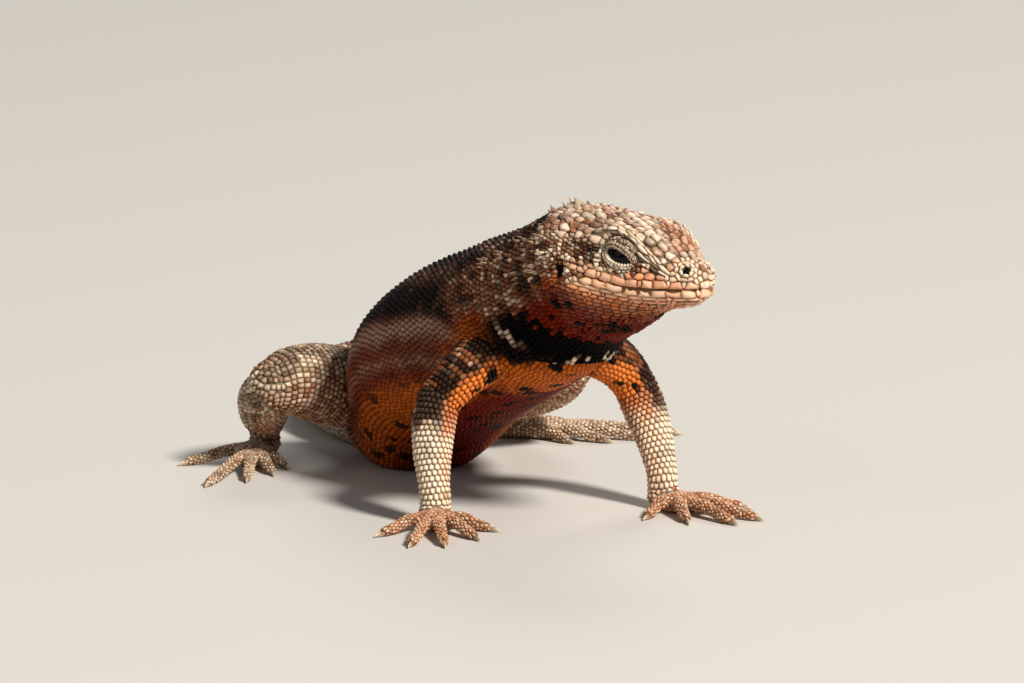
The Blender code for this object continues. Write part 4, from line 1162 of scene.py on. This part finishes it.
def all_sites(tree, tubes, rng):
    """Every scale's site, as columns; those on set lines come first and keep their place."""
    parts = []
    for row in face_sites(tree, rng):
        row = settle(row, tree, 0.6)
        row["uv"] = body_uv(row)
        parts.append(fill(row, rank=LINED, group=HEAD_COAT))
    tail_root = TAIL_FROM + 2.5
    crown_length = graded([0, 6, 7.5, 9.3], [0.8, 0.95, 1.0, 0.75])
    tail_length = graded([TAIL_FROM, tail_root], [0.68, 1.05])
    # stations, turns, jitter, marks, group, width
    spans = [
        (body_stations(crown_length, 0.5, HEAD_END), (CROWN_EDGE, 180 - CROWN_EDGE), 0.24, head_marks,
         HEAD_COAT, graded([0, 4, 6, 8, 9.3], [0.68, 0.82, 1.0, 1.05, 0.75])),
        (body_stations(0.47, 0.3, HEAD_END), (-180 - CROWN_EDGE, CROWN_EDGE), 0.16, head_marks,
         HEAD_COAT, even(0.45)),
        (body_stations(0.6, HEAD_END + 0.05, 12.2), AROUND, 0.1, body_marks, NECK_COAT, even(0.56)),
        (body_stations(0.66, 12.35, TAIL_FROM), AROUND, 0.08, body_marks, TRUNK_COAT, even(0.64)),
        (body_stations(tail_length, TAIL_FROM + 0.06, BODY_END), AROUND, 0.03, tail_marks,
         TAIL_COAT, graded([TAIL_FROM, tail_root, BODY_END], [0.66, 0.95, 0.7])),
    ]
    for ats, turns, jitter, marks, group, width in spans:
        row = ring_sites(body_surface, ats, width, turns, rng, jitter)
        row = settle(row, tree, 0.5)
        row["uv"] = atlas(BODY_CELL, row["at"] / BODY_END, turned(row["turn"]))
        parts.append(fill(marks(row, rng), rank=FREE, group=group))
    cell = 0
    for name, some in tubes.items():
        for k, surface in enumerate(some):
            paw = name in PAWS
            small = 0.46 if paw and k else 0.5 if paw else 0.6
            ats = tube_stations(surface, small, 0.0 if paw else 0.12)
            row = ring_sites(surface, ats, even(small), AROUND, rng, 0.06)
            row = settle(row, tree, 0.3)
            row["uv"] = atlas(cell, row["at"] / surface.length, turned(row["turn"]))
            marked = paw_marks(row, rng) if paw else limb_marks(row, rng, name, k, row["normal"])
            group = FORE_COAT if "arm" in name or "hand" in name else HIND_COAT
            parts.append(fill(marked, rank=PAW if paw else FREE, group=group))
            cell += 1
    names = set.intersection(*(set(part) for part in parts))
    return {name: np.concatenate([part[name] for part in parts]) for name in names}


def tube_stations(surface, spacing, trim):
    """Stations a set length apart along a tube, short of its ends by trim."""
    fine = np.linspace(trim, surface.length - trim, 300)
    line = (surface(fine, np.full(300, 0.0)) + surface(fine, np.full(300, 180.0))) / 2
    run = run_along(line)
    count = max(3, round(run[-1] / spacing) + 1)
    return np.interp(np.linspace(0, run[-1], count), run, fine)


def spaced(sites, share):
    """The sites without those that crowd a site of lower rank, or one that comes before them."""
    order = np.lexsort((np.arange(len(sites["rank"])), sites["rank"]))
    size = np.minimum(sites["length"], sites["width"])
    tree = tree_of(sites["place"], order)
    position = np.empty(len(order), int)
    position[order] = np.arange(len(order))
    gone = np.zeros(len(order), bool)
    place, normal, rear = sites["place"], sites["normal"], sites["rear"]
    across = np.cross(rear, normal)
    for k in order:
        if gone[k]:
            continue
        reach = 0.85 * max(sites["length"][k], sites["width"][k]) + 0.3
        for _, other, _ in tree.find_range(Vector(place[k]), reach):
            if gone[other] or position[other] <= position[k] or normal[k] @ normal[other] < 0:
                continue
            gap = place[other] - place[k]
            own = math.hypot(gap @ across[k] / sites["width"][k], gap @ rear[k] / sites["length"][k])
            dist = float(np.linalg.norm(gap))
            half = 0.5 * dist / max(own, 1e-6)
            inside = own < (0.85 if sites["rank"][k] < sites["rank"][other] else 0.5)
            if inside or dist < share * (half + 0.5 * size[other]):
                gone[other] = True
    return {name: value[~gone] for name, value in sites.items()}


def in_mouth(points):
    """True for points in the line of the mouth."""
    behind, aside, above = head_places(points)
    on_line = np.abs(above - mouth_height(behind)) < 0.16
    return on_line & (behind < MOUTH_CORNER) & (behind > 1.2) & (np.abs(aside) < 8)


def openings(eyes=True):
    """Places that stay bare: nostrils, ears and, if wanted, eyes, each with a radius."""
    spots = []
    for side in (1, -1):
        if eyes:
            spots.append((eye_axes(side)[0], EYE_BARE))
        spots.append((nostril_spot(side), NOSTRIL_BARE))
        spots.append((head_point(EAR[0], side * 7.2, EAR[1]), EAR_BARE))
    return spots


def bare(points, spots, grow=0.0):
    """True for points in an opening."""
    return np.any([np.linalg.norm(points - spot, axis=1) < radius + grow for spot, radius in spots], axis=0)


def filled(sites, points, tree, rng):
    """The sites with more where the skin shows between them, as at the joints of the limbs."""
    near = tree_of(sites["place"])
    added = []
    order = rng.permutation(len(points))
    order = order[~bare(points[order], openings()) & ~in_mouth(points[order])]
    taken = {}
    for n in order:
        point = Vector(points[n])
        _, k, away = near.find(point)
        size = 0.5 * (sites["length"][k] + sites["width"][k])
        if away < FILL_SHARE * size or away > FILL_REACH:
            continue
        cell = tuple(int(c // FILL_STEP) for c in points[n])
        around = itertools.product(*((c - 1, c, c + 1) for c in cell))
        others = [m for c in around for m in taken.get(c, ())]
        if any(np.linalg.norm(points[m] - points[n]) < FILL_STEP for m in others):
            continue
        taken.setdefault(cell, []).append(n)
        added.append((n, k))
    if not added:
        return sites
    extra = {name: value[[k for _, k in added]].copy() for name, value in sites.items()}
    extra["place"] = points[[n for n, _ in added]]
    extra["normal"] = nearest(tree, extra["place"])[1]
    extra["rear"] = unit(level(extra["rear"], extra["normal"]) + 1e-6)
    extra["length"], extra["width"] = (np.full(len(added), size) for size in FILL_SIZE)
    extra["shape"] = np.where(extra["shape"] == BLOCK, ROUND, extra["shape"])
    extra["uv"] = extra["uv"] + rng.uniform(-FILL_ON_ATLAS, FILL_ON_ATLAS, (len(added), 2))
    return {name: np.concatenate([sites[name], extra[name]]) for name in sites}


# outlines of the three shapes, across and along
START_SHAPES = {
    ROUND: [(0.56 * math.cos(a), 0.56 * math.sin(a)) for a in np.linspace(0, 2 * math.pi, 10)[:-1]],
    LEAF: [(0.3, -0.5), (0.52, -0.2), (0.54, 0.15), (0.3, 0.52), (0.0, 0.68), (-0.3, 0.52), (-0.54, 0.15),
           (-0.52, -0.2), (-0.3, -0.5)],
    BLOCK: [(0.4, -0.52), (0.52, -0.4), (0.52, 0.4), (0.4, 0.52), (-0.4, 0.52), (-0.52, 0.4), (-0.52, -0.4),
            (-0.4, -0.52)],
}


def clipped(outline, nx, ny, reach):
    """The part of an outline on the near side of a line."""
    kept = []
    levels = [x * nx + y * ny - reach for x, y in outline]
    for k, (x, y) in enumerate(outline):
        px, py = outline[k - 1]
        if (levels[k] < 0) != (levels[k - 1] < 0):
            t = levels[k - 1] / (levels[k - 1] - levels[k])
            kept.append((px + (x - px) * t, py + (y - py) * t))
        if levels[k] < 0:
            kept.append((x, y))
    return kept


def outlines(sites):
    """Each scale's outline on the plane at its site, cut halfway to each neighbour."""
    place, normal, rear = sites["place"], sites["normal"], sites["rear"]
    across = np.cross(rear, normal)
    length, width = sites["length"], sites["width"]
    tree = tree_of(place)
    found = []
    for k in range(len(place)):
        wide, long = width[k] * OVERLAP, length[k] * OVERLAP
        outline = [(x * wide, y * long) for x, y in START_SHAPES[int(sites["shape"][k])]]
        for _, other, _ in tree.find_n(Vector(place[k]), NEIGHBOURS):
            if other == k or normal[k] @ normal[other] < 0.1:
                continue
            gap = place[other] - place[k]
            dx, dy = float(gap @ across[k]), float(gap @ rear[k])
            own = math.hypot(dx / width[k], dy / length[k])
            theirs = math.hypot(dx / width[other], dy / length[other])
            if own < 1e-4 or own > CUT_REACH:
                continue
            nx, ny = dx / width[k] ** 2, dy / length[k] ** 2
            norm = math.hypot(nx, ny)
            nx, ny = nx / norm, ny / norm
            share = theirs / (own + theirs)
            outline = clipped(outline, nx, ny, share * (dx * nx + dy * ny) - SEAM / 2)
            if len(outline) < 3:
                break
        found.append(outline if len(outline) >= 3 else None)
    return found


def scale_meshes(sites, found, tree, rng, fine):
    """Points, faces, markings and unwrap of the scales whose outlines were found."""
    points, faces, marks, cells, uvs = [], [], [], [], []
    place, normal, rear = sites["place"], sites["normal"], sites["rear"]
    across = np.cross(rear, normal)
    base = 0
    for k, outline in enumerate(found):
        if outline is None:
            continue
        n = len(outline)
        p, up, back, side = place[k], normal[k], rear[k], across[k]
        height, tilt, keel = sites["height"][k], sites["tilt"][k], sites["keel"][k]
        height *= 0.85 + 0.3 * rng.random()
        half_w, half_l = 0.5 * sites["width"][k], 0.5 * sites["length"][k]
        spots, ups = [], []
        for x, y in outline:
            hit, up_there, _, _ = tree.find_nearest(Vector(p + side * x + back * y))
            spots.append(np.array(hit))
            ups.append(np.array(up_there))
        spots, ups = np.array(spots), np.array(ups)
        flat = ups @ up < 0.3
        spots[flat] = p + (spots[flat] - p) * 0.5
        ups[flat] = up
        u = np.array([x for x, _ in outline]) / half_w
        v = np.array([y for _, y in outline]) / half_l
        rise = height * 0.5 + tilt * np.clip(0.35 + 0.65 * v, 0, 1.1)
        rise = rise + keel * np.clip(1 - 2.5 * np.abs(u), 0, 1) * (v > 0)
        # the edge in the skin, the rim above it, and where the mesh is fine a ring between rim and top
        # each ring's number is how near the edge it lies, which the material turns into darker brown:
        # partly sutures, partly painted shade in the creases between scales
        rings = [(spots - ups * SCALE_ROOT, 1.0), (spots + ups * rise[:, None], 0.85)]
        if fine:
            lift = height * 0.92 + tilt * (0.35 + 0.3 * v)
            middle = p + (spots - p) * 0.62 + (ups * 0.5 + up * 0.5) * lift[:, None]
            rings.append((middle, 0.35))
        top = p + up * (height + 0.35 * tilt + keel)
        for ring, rim in rings:
            points.extend(ring)
            cells.extend([rim] * n)
        points.append(top)
        cells.append(0.0)
        count = len(rings)
        faces.extend(tuple(base + i for i in quad) for quad in ring_faces(count, n))
        centre = base + count * n
        last = centre - n
        faces.extend((last + j, last + (j + 1) % n, centre) for j in range(n))
        faces.append(tuple(base + j for j in range(n))[::-1])
        marks.extend([k] * (count * n + 1))
        across_uv, along_uv = sites["uv"][k]
        local = [(across_uv + SCALE_ON_ATLAS * (x / half_w), along_uv + SCALE_ON_ATLAS * (y / half_l))
                 for x, y in outline]
        uvs.extend(local * count + [(across_uv, along_uv)])
        base += count * n + 1
    return np.array(points), faces, np.array(marks), np.array(cells), np.array(uvs)


def paint(mesh, name, values):
    """Four values at each point of a mesh, for the material to read."""
    layer = mesh.color_attributes.new(name, "FLOAT_COLOR", "POINT")
    layer.data.foreach_set("color", np.asarray(values, np.float32).ravel())


def unwrap(mesh, uvs):
    """The mesh's unwrap, from a place on it for each point."""
    layer = mesh.uv_layers.new(name="OFBake")
    index = np.empty(len(mesh.loops), int)
    mesh.loops.foreach_get("vertex_index", index)
    layer.data.foreach_set("uv", uvs[index].ravel())


def paint_marks(mesh, sites, owner, lot, rim, holes=False):
    """The markings of each point of a mesh: those of the site that owns it, a chance share and how near a
    scale's edge it is. Holes are black."""
    dark, warm, hue, pale, tone = (np.clip(sites[name][owner], 0, 1) for name in MARKS)
    dark = np.where(holes, 1.0, dark)
    paint(mesh, "marks", np.stack([dark, warm, hue, pale], -1))
    paint(mesh, "cell", np.stack([tone, lot, rim, np.ones(len(owner))], -1))


def scale_piece(name, sites, mask, found, tree, rng, fine):
    """One mesh of scales with its markings and its unwrap."""
    chosen = [outline if ok else None for outline, ok in zip(found, mask)]
    points, faces, owner, rim, uvs = scale_meshes(sites, chosen, tree, rng, fine)
    points[:, 2] = np.maximum(points[:, 2], SCALE_FLOOR)
    obj = make_object(name, points, faces)
    # narrow scales take less of the darkened edge, which is partly sutures and partly painted shade in the
    # creases
    rim = rim * np.clip(sites["width"] / 0.55, 0.5, 1)[owner]
    lot = rng.uniform(0, 1, len(sites["place"]))
    paint_marks(obj.data, sites, owner, lot[owner], rim)
    unwrap(obj.data, uvs)
    return obj


def spike(root, up, back, height, base, lean):
    """A spine that curves back from its root: points and faces."""
    across = unit(np.cross(back, up))
    points = []
    for share, girth, _ in SPINE_RINGS:
        middle = root + up * (height * share) + back * (lean * height * max(share, 0) ** 1.7)
        for k in range(SPINE_SIDES):
            a = 2 * math.pi * (k + 0.5) / SPINE_SIDES
            point = middle + across * (0.42 * base * girth * math.cos(a))
            points.append(point + back * (0.5 * base * girth * math.sin(a)))
    return np.array(points), closed_faces(len(SPINE_RINGS), SPINE_SIDES)


def crest(tree, rng):
    """Spines along the nape and the back, and clumps of them on the sides of the neck."""
    shells, uvs, marks = [], [], []

    def plant(at, turn, height, base, lean, pale):
        place = body_surface(np.array([at]), np.array([turn]))[0]
        ahead = body_surface(np.array([at + 0.1]), np.array([turn]))[0]
        hit, up, _, away = tree.find_nearest(Vector(place))
        if away > 0.5:
            return
        up = np.array(up)
        back = ahead - place
        back = unit(back - up * (back @ up))
        tilted = unit(up + 0.18 * rng.uniform(-1, 1) * np.cross(back, up))
        points, faces = spike(np.array(hit), tilted, back, height, base, lean)
        shells.append((points, faces))
        uvs.append(np.tile(atlas(BODY_CELL, at / BODY_END, turned(turn)), (len(points), 1)))
        tone = 0.2 + 0.9 * pale + 0.15 * rng.random()
        marks.append(np.tile((0.45 * (1 - pale) * rng.random(), 0.15, 0.6, pale, tone), (len(points), 1)))

    nape = body_stations(0.95, CREST_FROM, TRUNK_FROM + 0.3)
    for at in nape:
        share = (at - CREST_FROM) / (TRUNK_FROM - CREST_FROM)
        tall = np.interp(share, [0, 0.12, 0.32, 0.6, 1.0], [0.9, 1.65, 1.75, 1.1, 0.8])
        plant(at, 90 + rng.uniform(-3, 3), tall * rng.uniform(0.75, 1.0), base=2.0, lean=0.45,
              pale=0.25 + 0.25 * rng.random())
        for side in (1, -1):
            if rng.random() < 0.75:
                plant(at + rng.uniform(-0.05, 0.05), 90 + side * rng.uniform(7, 13),
                      tall * rng.uniform(0.45, 0.85), base=1.5, lean=0.5, pale=0.1 + 0.4 * rng.random())
    for at in body_stations(0.8, TRUNK_FROM + 0.35, TAIL_FROM + 6):
        plant(at, 90 + rng.uniform(-2, 2), rng.uniform(0.5, 0.85), base=0.7, lean=0.8,
              pale=0.2 * rng.random())
    for side in (1, -1):
        for at, above, count in NECK_CLUMPS:
            for _ in range(count):
                turn = above + rng.uniform(-5, 5)
                turn = turn if side > 0 else 180 - turn
                bright = 0.5 if at < 9.7 and above < 20 else 0.2
                plant(at + rng.uniform(-0.16, 0.16), turn, rng.uniform(0.5, 0.95), base=0.62, lean=0.7,
                      pale=bright * rng.uniform(0.3, 1.4))
    return shells, np.concatenate(uvs), np.concatenate(marks)


def spines_piece(name, tree, rng):
    """One mesh of spines with its markings and its unwrap, where a spine's points lie on a small ring."""
    shells, uvs, marks = crest(tree, rng)
    points, faces = joined(shells)
    obj = make_object(name, points, faces)
    each = len(SPINE_RINGS) * SPINE_SIDES
    lot = np.repeat(rng.random(len(shells)), each)
    rim = np.tile(np.repeat([ring[2] for ring in SPINE_RINGS], SPINE_SIDES), len(shells))
    paint(obj.data, "marks", marks[:, :4])
    paint(obj.data, "cell", np.stack([marks[:, 4], lot, rim, np.ones(len(points))], -1))
    spin = np.stack([np.cos(np.arange(each)), np.sin(np.arange(each))], -1) * SPINE_ON_ATLAS
    unwrap(obj.data, uvs + np.tile(spin, (len(shells), 1)))
    return obj


def claw_piece(name, roots):
    """One mesh of claws, each a hook that arches forward from its root."""
    shells = []
    for root, way in roots:
        up = np.array((0, 0, 1.0))
        across = np.cross(way, up)
        points = []
        for i in range(CLAW_RINGS):
            share = i / (CLAW_RINGS - 1)
            girth = CLAW_RADIUS * (1 - share) ** 0.7 + 0.03
            arch = 0.42 * math.sin(math.pi * 0.8 * share) - 0.12 * share
            middle = root + way * (CLAW_LENGTH * share) + up * arch
            for k in range(CLAW_SIDES):
                a = 2 * math.pi * k / CLAW_SIDES
                points.append(middle + across * (0.6 * girth * math.cos(a)) + up * (girth * math.sin(a)))
        points = np.array(points)
        points[:, 2] = np.maximum(points[:, 2], CLAW_FLOOR)
        shells.append((points, closed_faces(CLAW_RINGS, CLAW_SIDES)))
    points, faces = joined(shells)
    obj = make_object(name, points, faces)
    share = np.tile(np.repeat(np.arange(CLAW_RINGS) / (CLAW_RINGS - 1), CLAW_SIDES), len(shells))
    paint(obj.data, "length", np.stack([share, share, share, np.ones(len(share))], -1))
    return obj


def eye_piece(name, side):
    """An eyeball whose cornea bulges a little."""
    centre, facing, along, height = eye_axes(side)
    points = []
    for i in range(EYE_RINGS + 1):
        bend = math.pi * i / EYE_RINGS
        bulge = EYE_RADIUS + CORNEA_BULGE * math.exp(-((bend / CORNEA_REACH) ** 4))
        for k in range(EYE_SIDES):
            a = 2 * math.pi * k / EYE_SIDES
            flat = along * math.cos(a) + height * math.sin(a)
            points.append(centre + bulge * (facing * math.cos(bend) + flat * math.sin(bend)))
    obj = make_object(name, points, sided(ring_faces(EYE_RINGS + 1, EYE_SIDES), side))
    bend = np.repeat(np.arange(EYE_RINGS + 1) / EYE_RINGS, EYE_SIDES)
    around = np.tile(np.arange(EYE_SIDES) / EYE_SIDES, EYE_RINGS + 1)
    paint(obj.data, "gaze", np.stack([bend, around, bend, np.ones(len(bend))], -1))
    return obj


def node(tree, kind, links=None, **settings):
    """A shader node with its settings. links gives a value or another node's output for each input."""
    made = tree.nodes.new(kind)
    for key, value in settings.items():
        setattr(made, key, value)
    for key, value in (links or {}).items():
        if isinstance(value, bpy.types.NodeSocket):
            tree.links.new(value, made.inputs[key])
        else:
            made.inputs[key].default_value = value
    return made


def new_material(name):
    """An empty material, with its tree of nodes."""
    material = bpy.data.materials.new(name)
    material.use_nodes = True
    material.node_tree.nodes.clear()
    return material, material.node_tree


def mix(tree, share, first, second, blend="MIX"):
    """Two colours mixed by a share."""
    made = node(tree, "ShaderNodeMix", {0: share, 6: first, 7: second}, data_type="RGBA", blend_type=blend)
    return made.outputs[2]


def math_of(tree, operation, first, second=0.0, clamp=False):
    """The result of one operation on two values."""
    made = node(tree, "ShaderNodeMath", {0: first, 1: second}, operation=operation, use_clamp=clamp)
    return made.outputs[0]


def speckle(tree, where, size, detail=2.0):
    """Noise whose grains are about as wide as size, in mm."""
    made = node(tree, "ShaderNodeTexNoise", {"Vector": where, "Scale": 1 / (size * MM), "Detail": detail})
    return made.outputs[0]


def principled(tree, inputs):
    """The shader of a material's surface."""
    shader = node(tree, "ShaderNodeBsdfPrincipled", inputs)
    node(tree, "ShaderNodeOutputMaterial", {0: shader.outputs[0]})


def keratin(name, shade, roughness, freckles=0.2, gloss=0.14):
    """Lizard scale: dry keratin, satin, with colour laid down in each scale and fine pits."""
    material, tree = new_material(name)
    marks = node(tree, "ShaderNodeAttribute", attribute_name="marks")
    cell = node(tree, "ShaderNodeAttribute", attribute_name="cell")
    marked = node(tree, "ShaderNodeSeparateColor", {0: marks.outputs["Color"]})
    celled = node(tree, "ShaderNodeSeparateColor", {0: cell.outputs["Color"]})
    where = node(tree, "ShaderNodeTexCoord").outputs["Object"]
    # mottling about 0.5 mm wide, and pits about 0.12 mm wide
    mottle = speckle(tree, where, 0.5, 3.0)
    pits = speckle(tree, where, 0.12)
    uneven = math_of(tree, "MULTIPLY", math_of(tree, "SUBTRACT", mottle, 0.5), 0.6)
    lot = math_of(tree, "MULTIPLY", math_of(tree, "SUBTRACT", celled.outputs[1], 0.5), 0.22)
    tone = math_of(tree, "ADD", math_of(tree, "ADD", celled.outputs[0], lot), uneven, clamp=True)
    ground = node(tree, "ShaderNodeValToRGB", {0: tone})
    set_ramp(ground, (0.05, "slate"), (0.5, "tan"), (0.9, "ash"))
    glow = node(tree, "ShaderNodeValToRGB", {0: math_of(tree, "ADD", marked.outputs[2], lot, clamp=True)})
    set_ramp(glow, (0.0, "orange"), (0.85, "rust"))
    colour = mix(tree, marked.outputs[1], ground.outputs[0], glow.outputs[0])
    # brown freckles about 0.8 mm wide
    freckle = speckle(tree, where, 0.8, 1.5)
    spots = node(tree, "ShaderNodeMapRange", {0: freckle, 1: 0.5, 2: 0.66, 4: freckles})
    colour = mix(tree, spots.outputs[0], colour, linear(COLOURS["umber"]))
    # the cell's third value darkens the colour towards umber and holds back the pale: towards a scale's
    # edge this is partly the dark sutures between scales and partly painted shade in the creases between
    # them
    rim = math_of(tree, "POWER", celled.outputs[2], 2.0)
    centre = math_of(tree, "SUBTRACT", 1.0, math_of(tree, "MULTIPLY", rim, 0.7))
    paled = math_of(tree, "MULTIPLY", marks.outputs["Alpha"], centre)
    colour = mix(tree, paled, colour, linear(COLOURS["cream"]))
    colour = mix(tree, math_of(tree, "MULTIPLY", rim, 0.5), colour, linear(COLOURS["umber"]))
    colour = mix(tree, marked.outputs[0], colour, linear(COLOURS["black"]))
    # the colour is multiplied by shade: 1 for the scales, 0.42 for the skin in the gaps between them, which
    # is painted shade
    colour = mix(tree, 1.0, colour, (shade, shade, shade, 1.0), "MULTIPLY")
    bump = node(tree, "ShaderNodeBump", {"Height": pits, "Strength": 0.25, "Distance": 0.05 * MM})
    # rust-red scales are duller
    rusty = math_of(tree, "MULTIPLY", marked.outputs[1], marked.outputs[2])
    dull = math_of(tree, "MULTIPLY", rusty, 0.85 * gloss)
    principled(tree, {
        "Base Color": colour, "Roughness": roughness, "IOR": 1.45, "Normal": bump.outputs[0],
        "Specular IOR Level": math_of(tree, "SUBTRACT", gloss, dull)})
    return material


def set_ramp(made, *stops):
    """The places and the colours of a colour ramp."""
    ramp_stops = made.color_ramp.elements
    while len(ramp_stops) < len(stops):
        ramp_stops.new(0.5)
    for stop, (place, name) in zip(ramp_stops, stops):
        stop.position = place
        stop.color = linear(COLOURS[name])


def claw_horn():
    """Claw: polished horn, darker at the root and paler towards the tip."""
    material, tree = new_material("claw_horn_worn")
    share = node(tree, "ShaderNodeAttribute", attribute_name="length").outputs["Fac"]
    colour = node(tree, "ShaderNodeValToRGB", {0: share})
    set_ramp(colour, (0.1, "claw_root"), (0.8, "claw_tip"))
    principled(tree, {"Base Color": colour.outputs[0], "Roughness": 0.38})
    return material


def wet_eye():
    """Eye: a wet cornea over a dark brown iris and a round pupil."""
    material, tree = new_material("eye_wet_cornea")
    gaze = node(tree, "ShaderNodeAttribute", attribute_name="gaze").outputs["Fac"]
    where = node(tree, "ShaderNodeTexCoord").outputs["Object"]
    # flecks about 0.2 mm wide roughen the edge of the pupil
    flecks = math_of(tree, "SUBTRACT", speckle(tree, where, 0.2), 0.5)
    bend = math_of(tree, "ADD", gaze, math_of(tree, "MULTIPLY", flecks, 0.02))
    colour = node(tree, "ShaderNodeValToRGB", {0: bend})
    set_ramp(colour, (0.12, "pupil"), (0.15, "iris"), (0.26, "pupil"))
    principled(tree, {
        "Base Color": colour.outputs[0], "Roughness": 0.05, "IOR": 1.36, "Specular IOR Level": 0.3})
    return material


def plain_floor():
    """Floor: matt pale paper, so that nothing draws the eye from the animal."""
    material, tree = new_material("paper_matt")
    principled(tree, {"Base Color": linear(COLOURS["floor"]), "Roughness": 0.9})
    corners = [(x * FLOOR_REACH, y * FLOOR_REACH, 0) for x, y in ((-1, -1), (1, -1), (1, 1), (-1, 1))]
    floor = make_object("floor", corners, [(0, 1, 2, 3)], smooth=False)
    floor.data.materials.append(material)


def studio():
    """Three round lights and a faint, even sky."""
    scene = bpy.context.scene
    scene.view_settings.view_transform = "Standard"
    world = bpy.data.worlds.new("studio")
    world.use_nodes = True
    sky = world.node_tree.nodes["Background"]
    sky.inputs[0].default_value = WORLD_COLOUR
    sky.inputs[1].default_value = WORLD_STRENGTH
    scene.world = world
    for name, place, size, power, colour in LIGHTS:
        data = bpy.data.lights.new(name, "AREA")
        data.shape = "DISK"
        data.size = size
        data.energy = power
        data.color = colour
        light = bpy.data.objects.new(name, data)
        light.location = place
        light.rotation_euler = (Vector(LIGHTS_AIM) - Vector(place)).to_track_quat("-Z", "Y").to_euler()
        scene.collection.objects.link(light)


def camera():
    """The photograph's camera."""
    turn, rise = math.radians(CAMERA_TURN), math.radians(CAMERA_RISE)
    away = Vector((math.sin(turn) * math.cos(rise), -math.cos(turn) * math.cos(rise), math.sin(rise)))
    data = bpy.data.cameras.new("camera")
    data.lens = CAMERA_LENS
    data.sensor_width = SENSOR_WIDTH
    data.dof.use_dof = False
    data.clip_start = 0.02
    data.clip_end = 20
    view = bpy.data.objects.new("camera", data)
    view.location = Vector(CAMERA_AIM) * MM + away * CAMERA_DISTANCE
    view.rotation_euler = (-away).to_track_quat("-Z", "Y").to_euler()
    bpy.context.scene.collection.objects.link(view)
    bpy.context.scene.camera = view


FLESH = ["head", "neck", "torso", "tail_base", "tail_middle", "tail_tip", "foreleg_left", "foreleg_right",
         "hand_left", "hand_right", "hindleg_left", "hindleg_right", "foot_left", "foot_right"]
# piece of scales, the group of sites it takes, and a slot name
COATS = [("scales_head", HEAD_COAT, "head_skin"), ("scales_neck", NECK_COAT, "body_skin"),
         ("scales_trunk", TRUNK_COAT, "body_skin"), ("scales_tail", TAIL_COAT, "body_skin"),
         ("scales_forelimbs", FORE_COAT, "hand_skin"), ("scales_hindlimbs", HIND_COAT, "hand_skin")]


def skin_piece(points, faces, sites):
    """The skin under the scales, with the markings of the scale above each point, seen in the gaps."""
    obj = make_object("skin", points, faces)
    tree = tree_of(sites["place"])
    owner = np.array([tree.find(Vector(p))[1] for p in points])
    # the skin's edge value of 0.8 darkens it towards umber like a scale's edge: painted shade in the gaps
    # between scales
    lot, rim = np.full(len(points), 0.5), np.full(len(points), 0.8)
    paint_marks(obj.data, sites, owner, lot, rim, holes=bare(points, openings(eyes=False), 0.08))
    return obj


def main():
    rng = np.random.default_rng(SEED)
    tubes, claws = body_tubes()
    points, faces = make_skin(tubes)
    tree = BVHTree.FromPolygons([Vector(p) for p in points], faces)
    sites = spaced(all_sites(tree, tubes, rng), CROWDING)
    sites = filled(sites, points, tree, rng)
    found = outlines(sites)
    scale = keratin("scale_keratin_dry", shade=1.0, roughness=0.5)
    plate = keratin("head_plate_keratin_smooth", shade=1.0, roughness=0.37, freckles=0.55, gloss=0.42)
    made = []
    for name, group, slot in COATS:
        mask = sites["group"] == group
        piece = scale_piece(name, sites, mask, found, tree, rng, fine=group == HEAD_COAT)
        made.append((piece, plate if group == HEAD_COAT else scale, slot))
    made.append((spines_piece("spines", tree, rng), scale, "body_skin"))
    skin = skin_piece(points, faces, sites)
    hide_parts(*FLESH)
    # the skin between scales is darkened to 0.42: painted shade in the gaps between them
    made.append((skin, keratin("skin_between_scales", shade=0.42, roughness=0.6), "body_skin"))
    horn, cornea = claw_horn(), wet_eye()
    made.append((claw_piece("claws", [c for some in claws.values() for c in some]), horn, "claw"))
    for side, label in ((1, "left"), (-1, "right")):
        eye = eye_piece("eyeball_" + label, side)
        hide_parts("eye_" + label)
        made.append((eye, cornea, "eye"))
    for piece, material, slot in made:
        piece.data.materials.append(material)
        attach(piece, "root")
    plain_floor()
    studio()
    camera()


main()
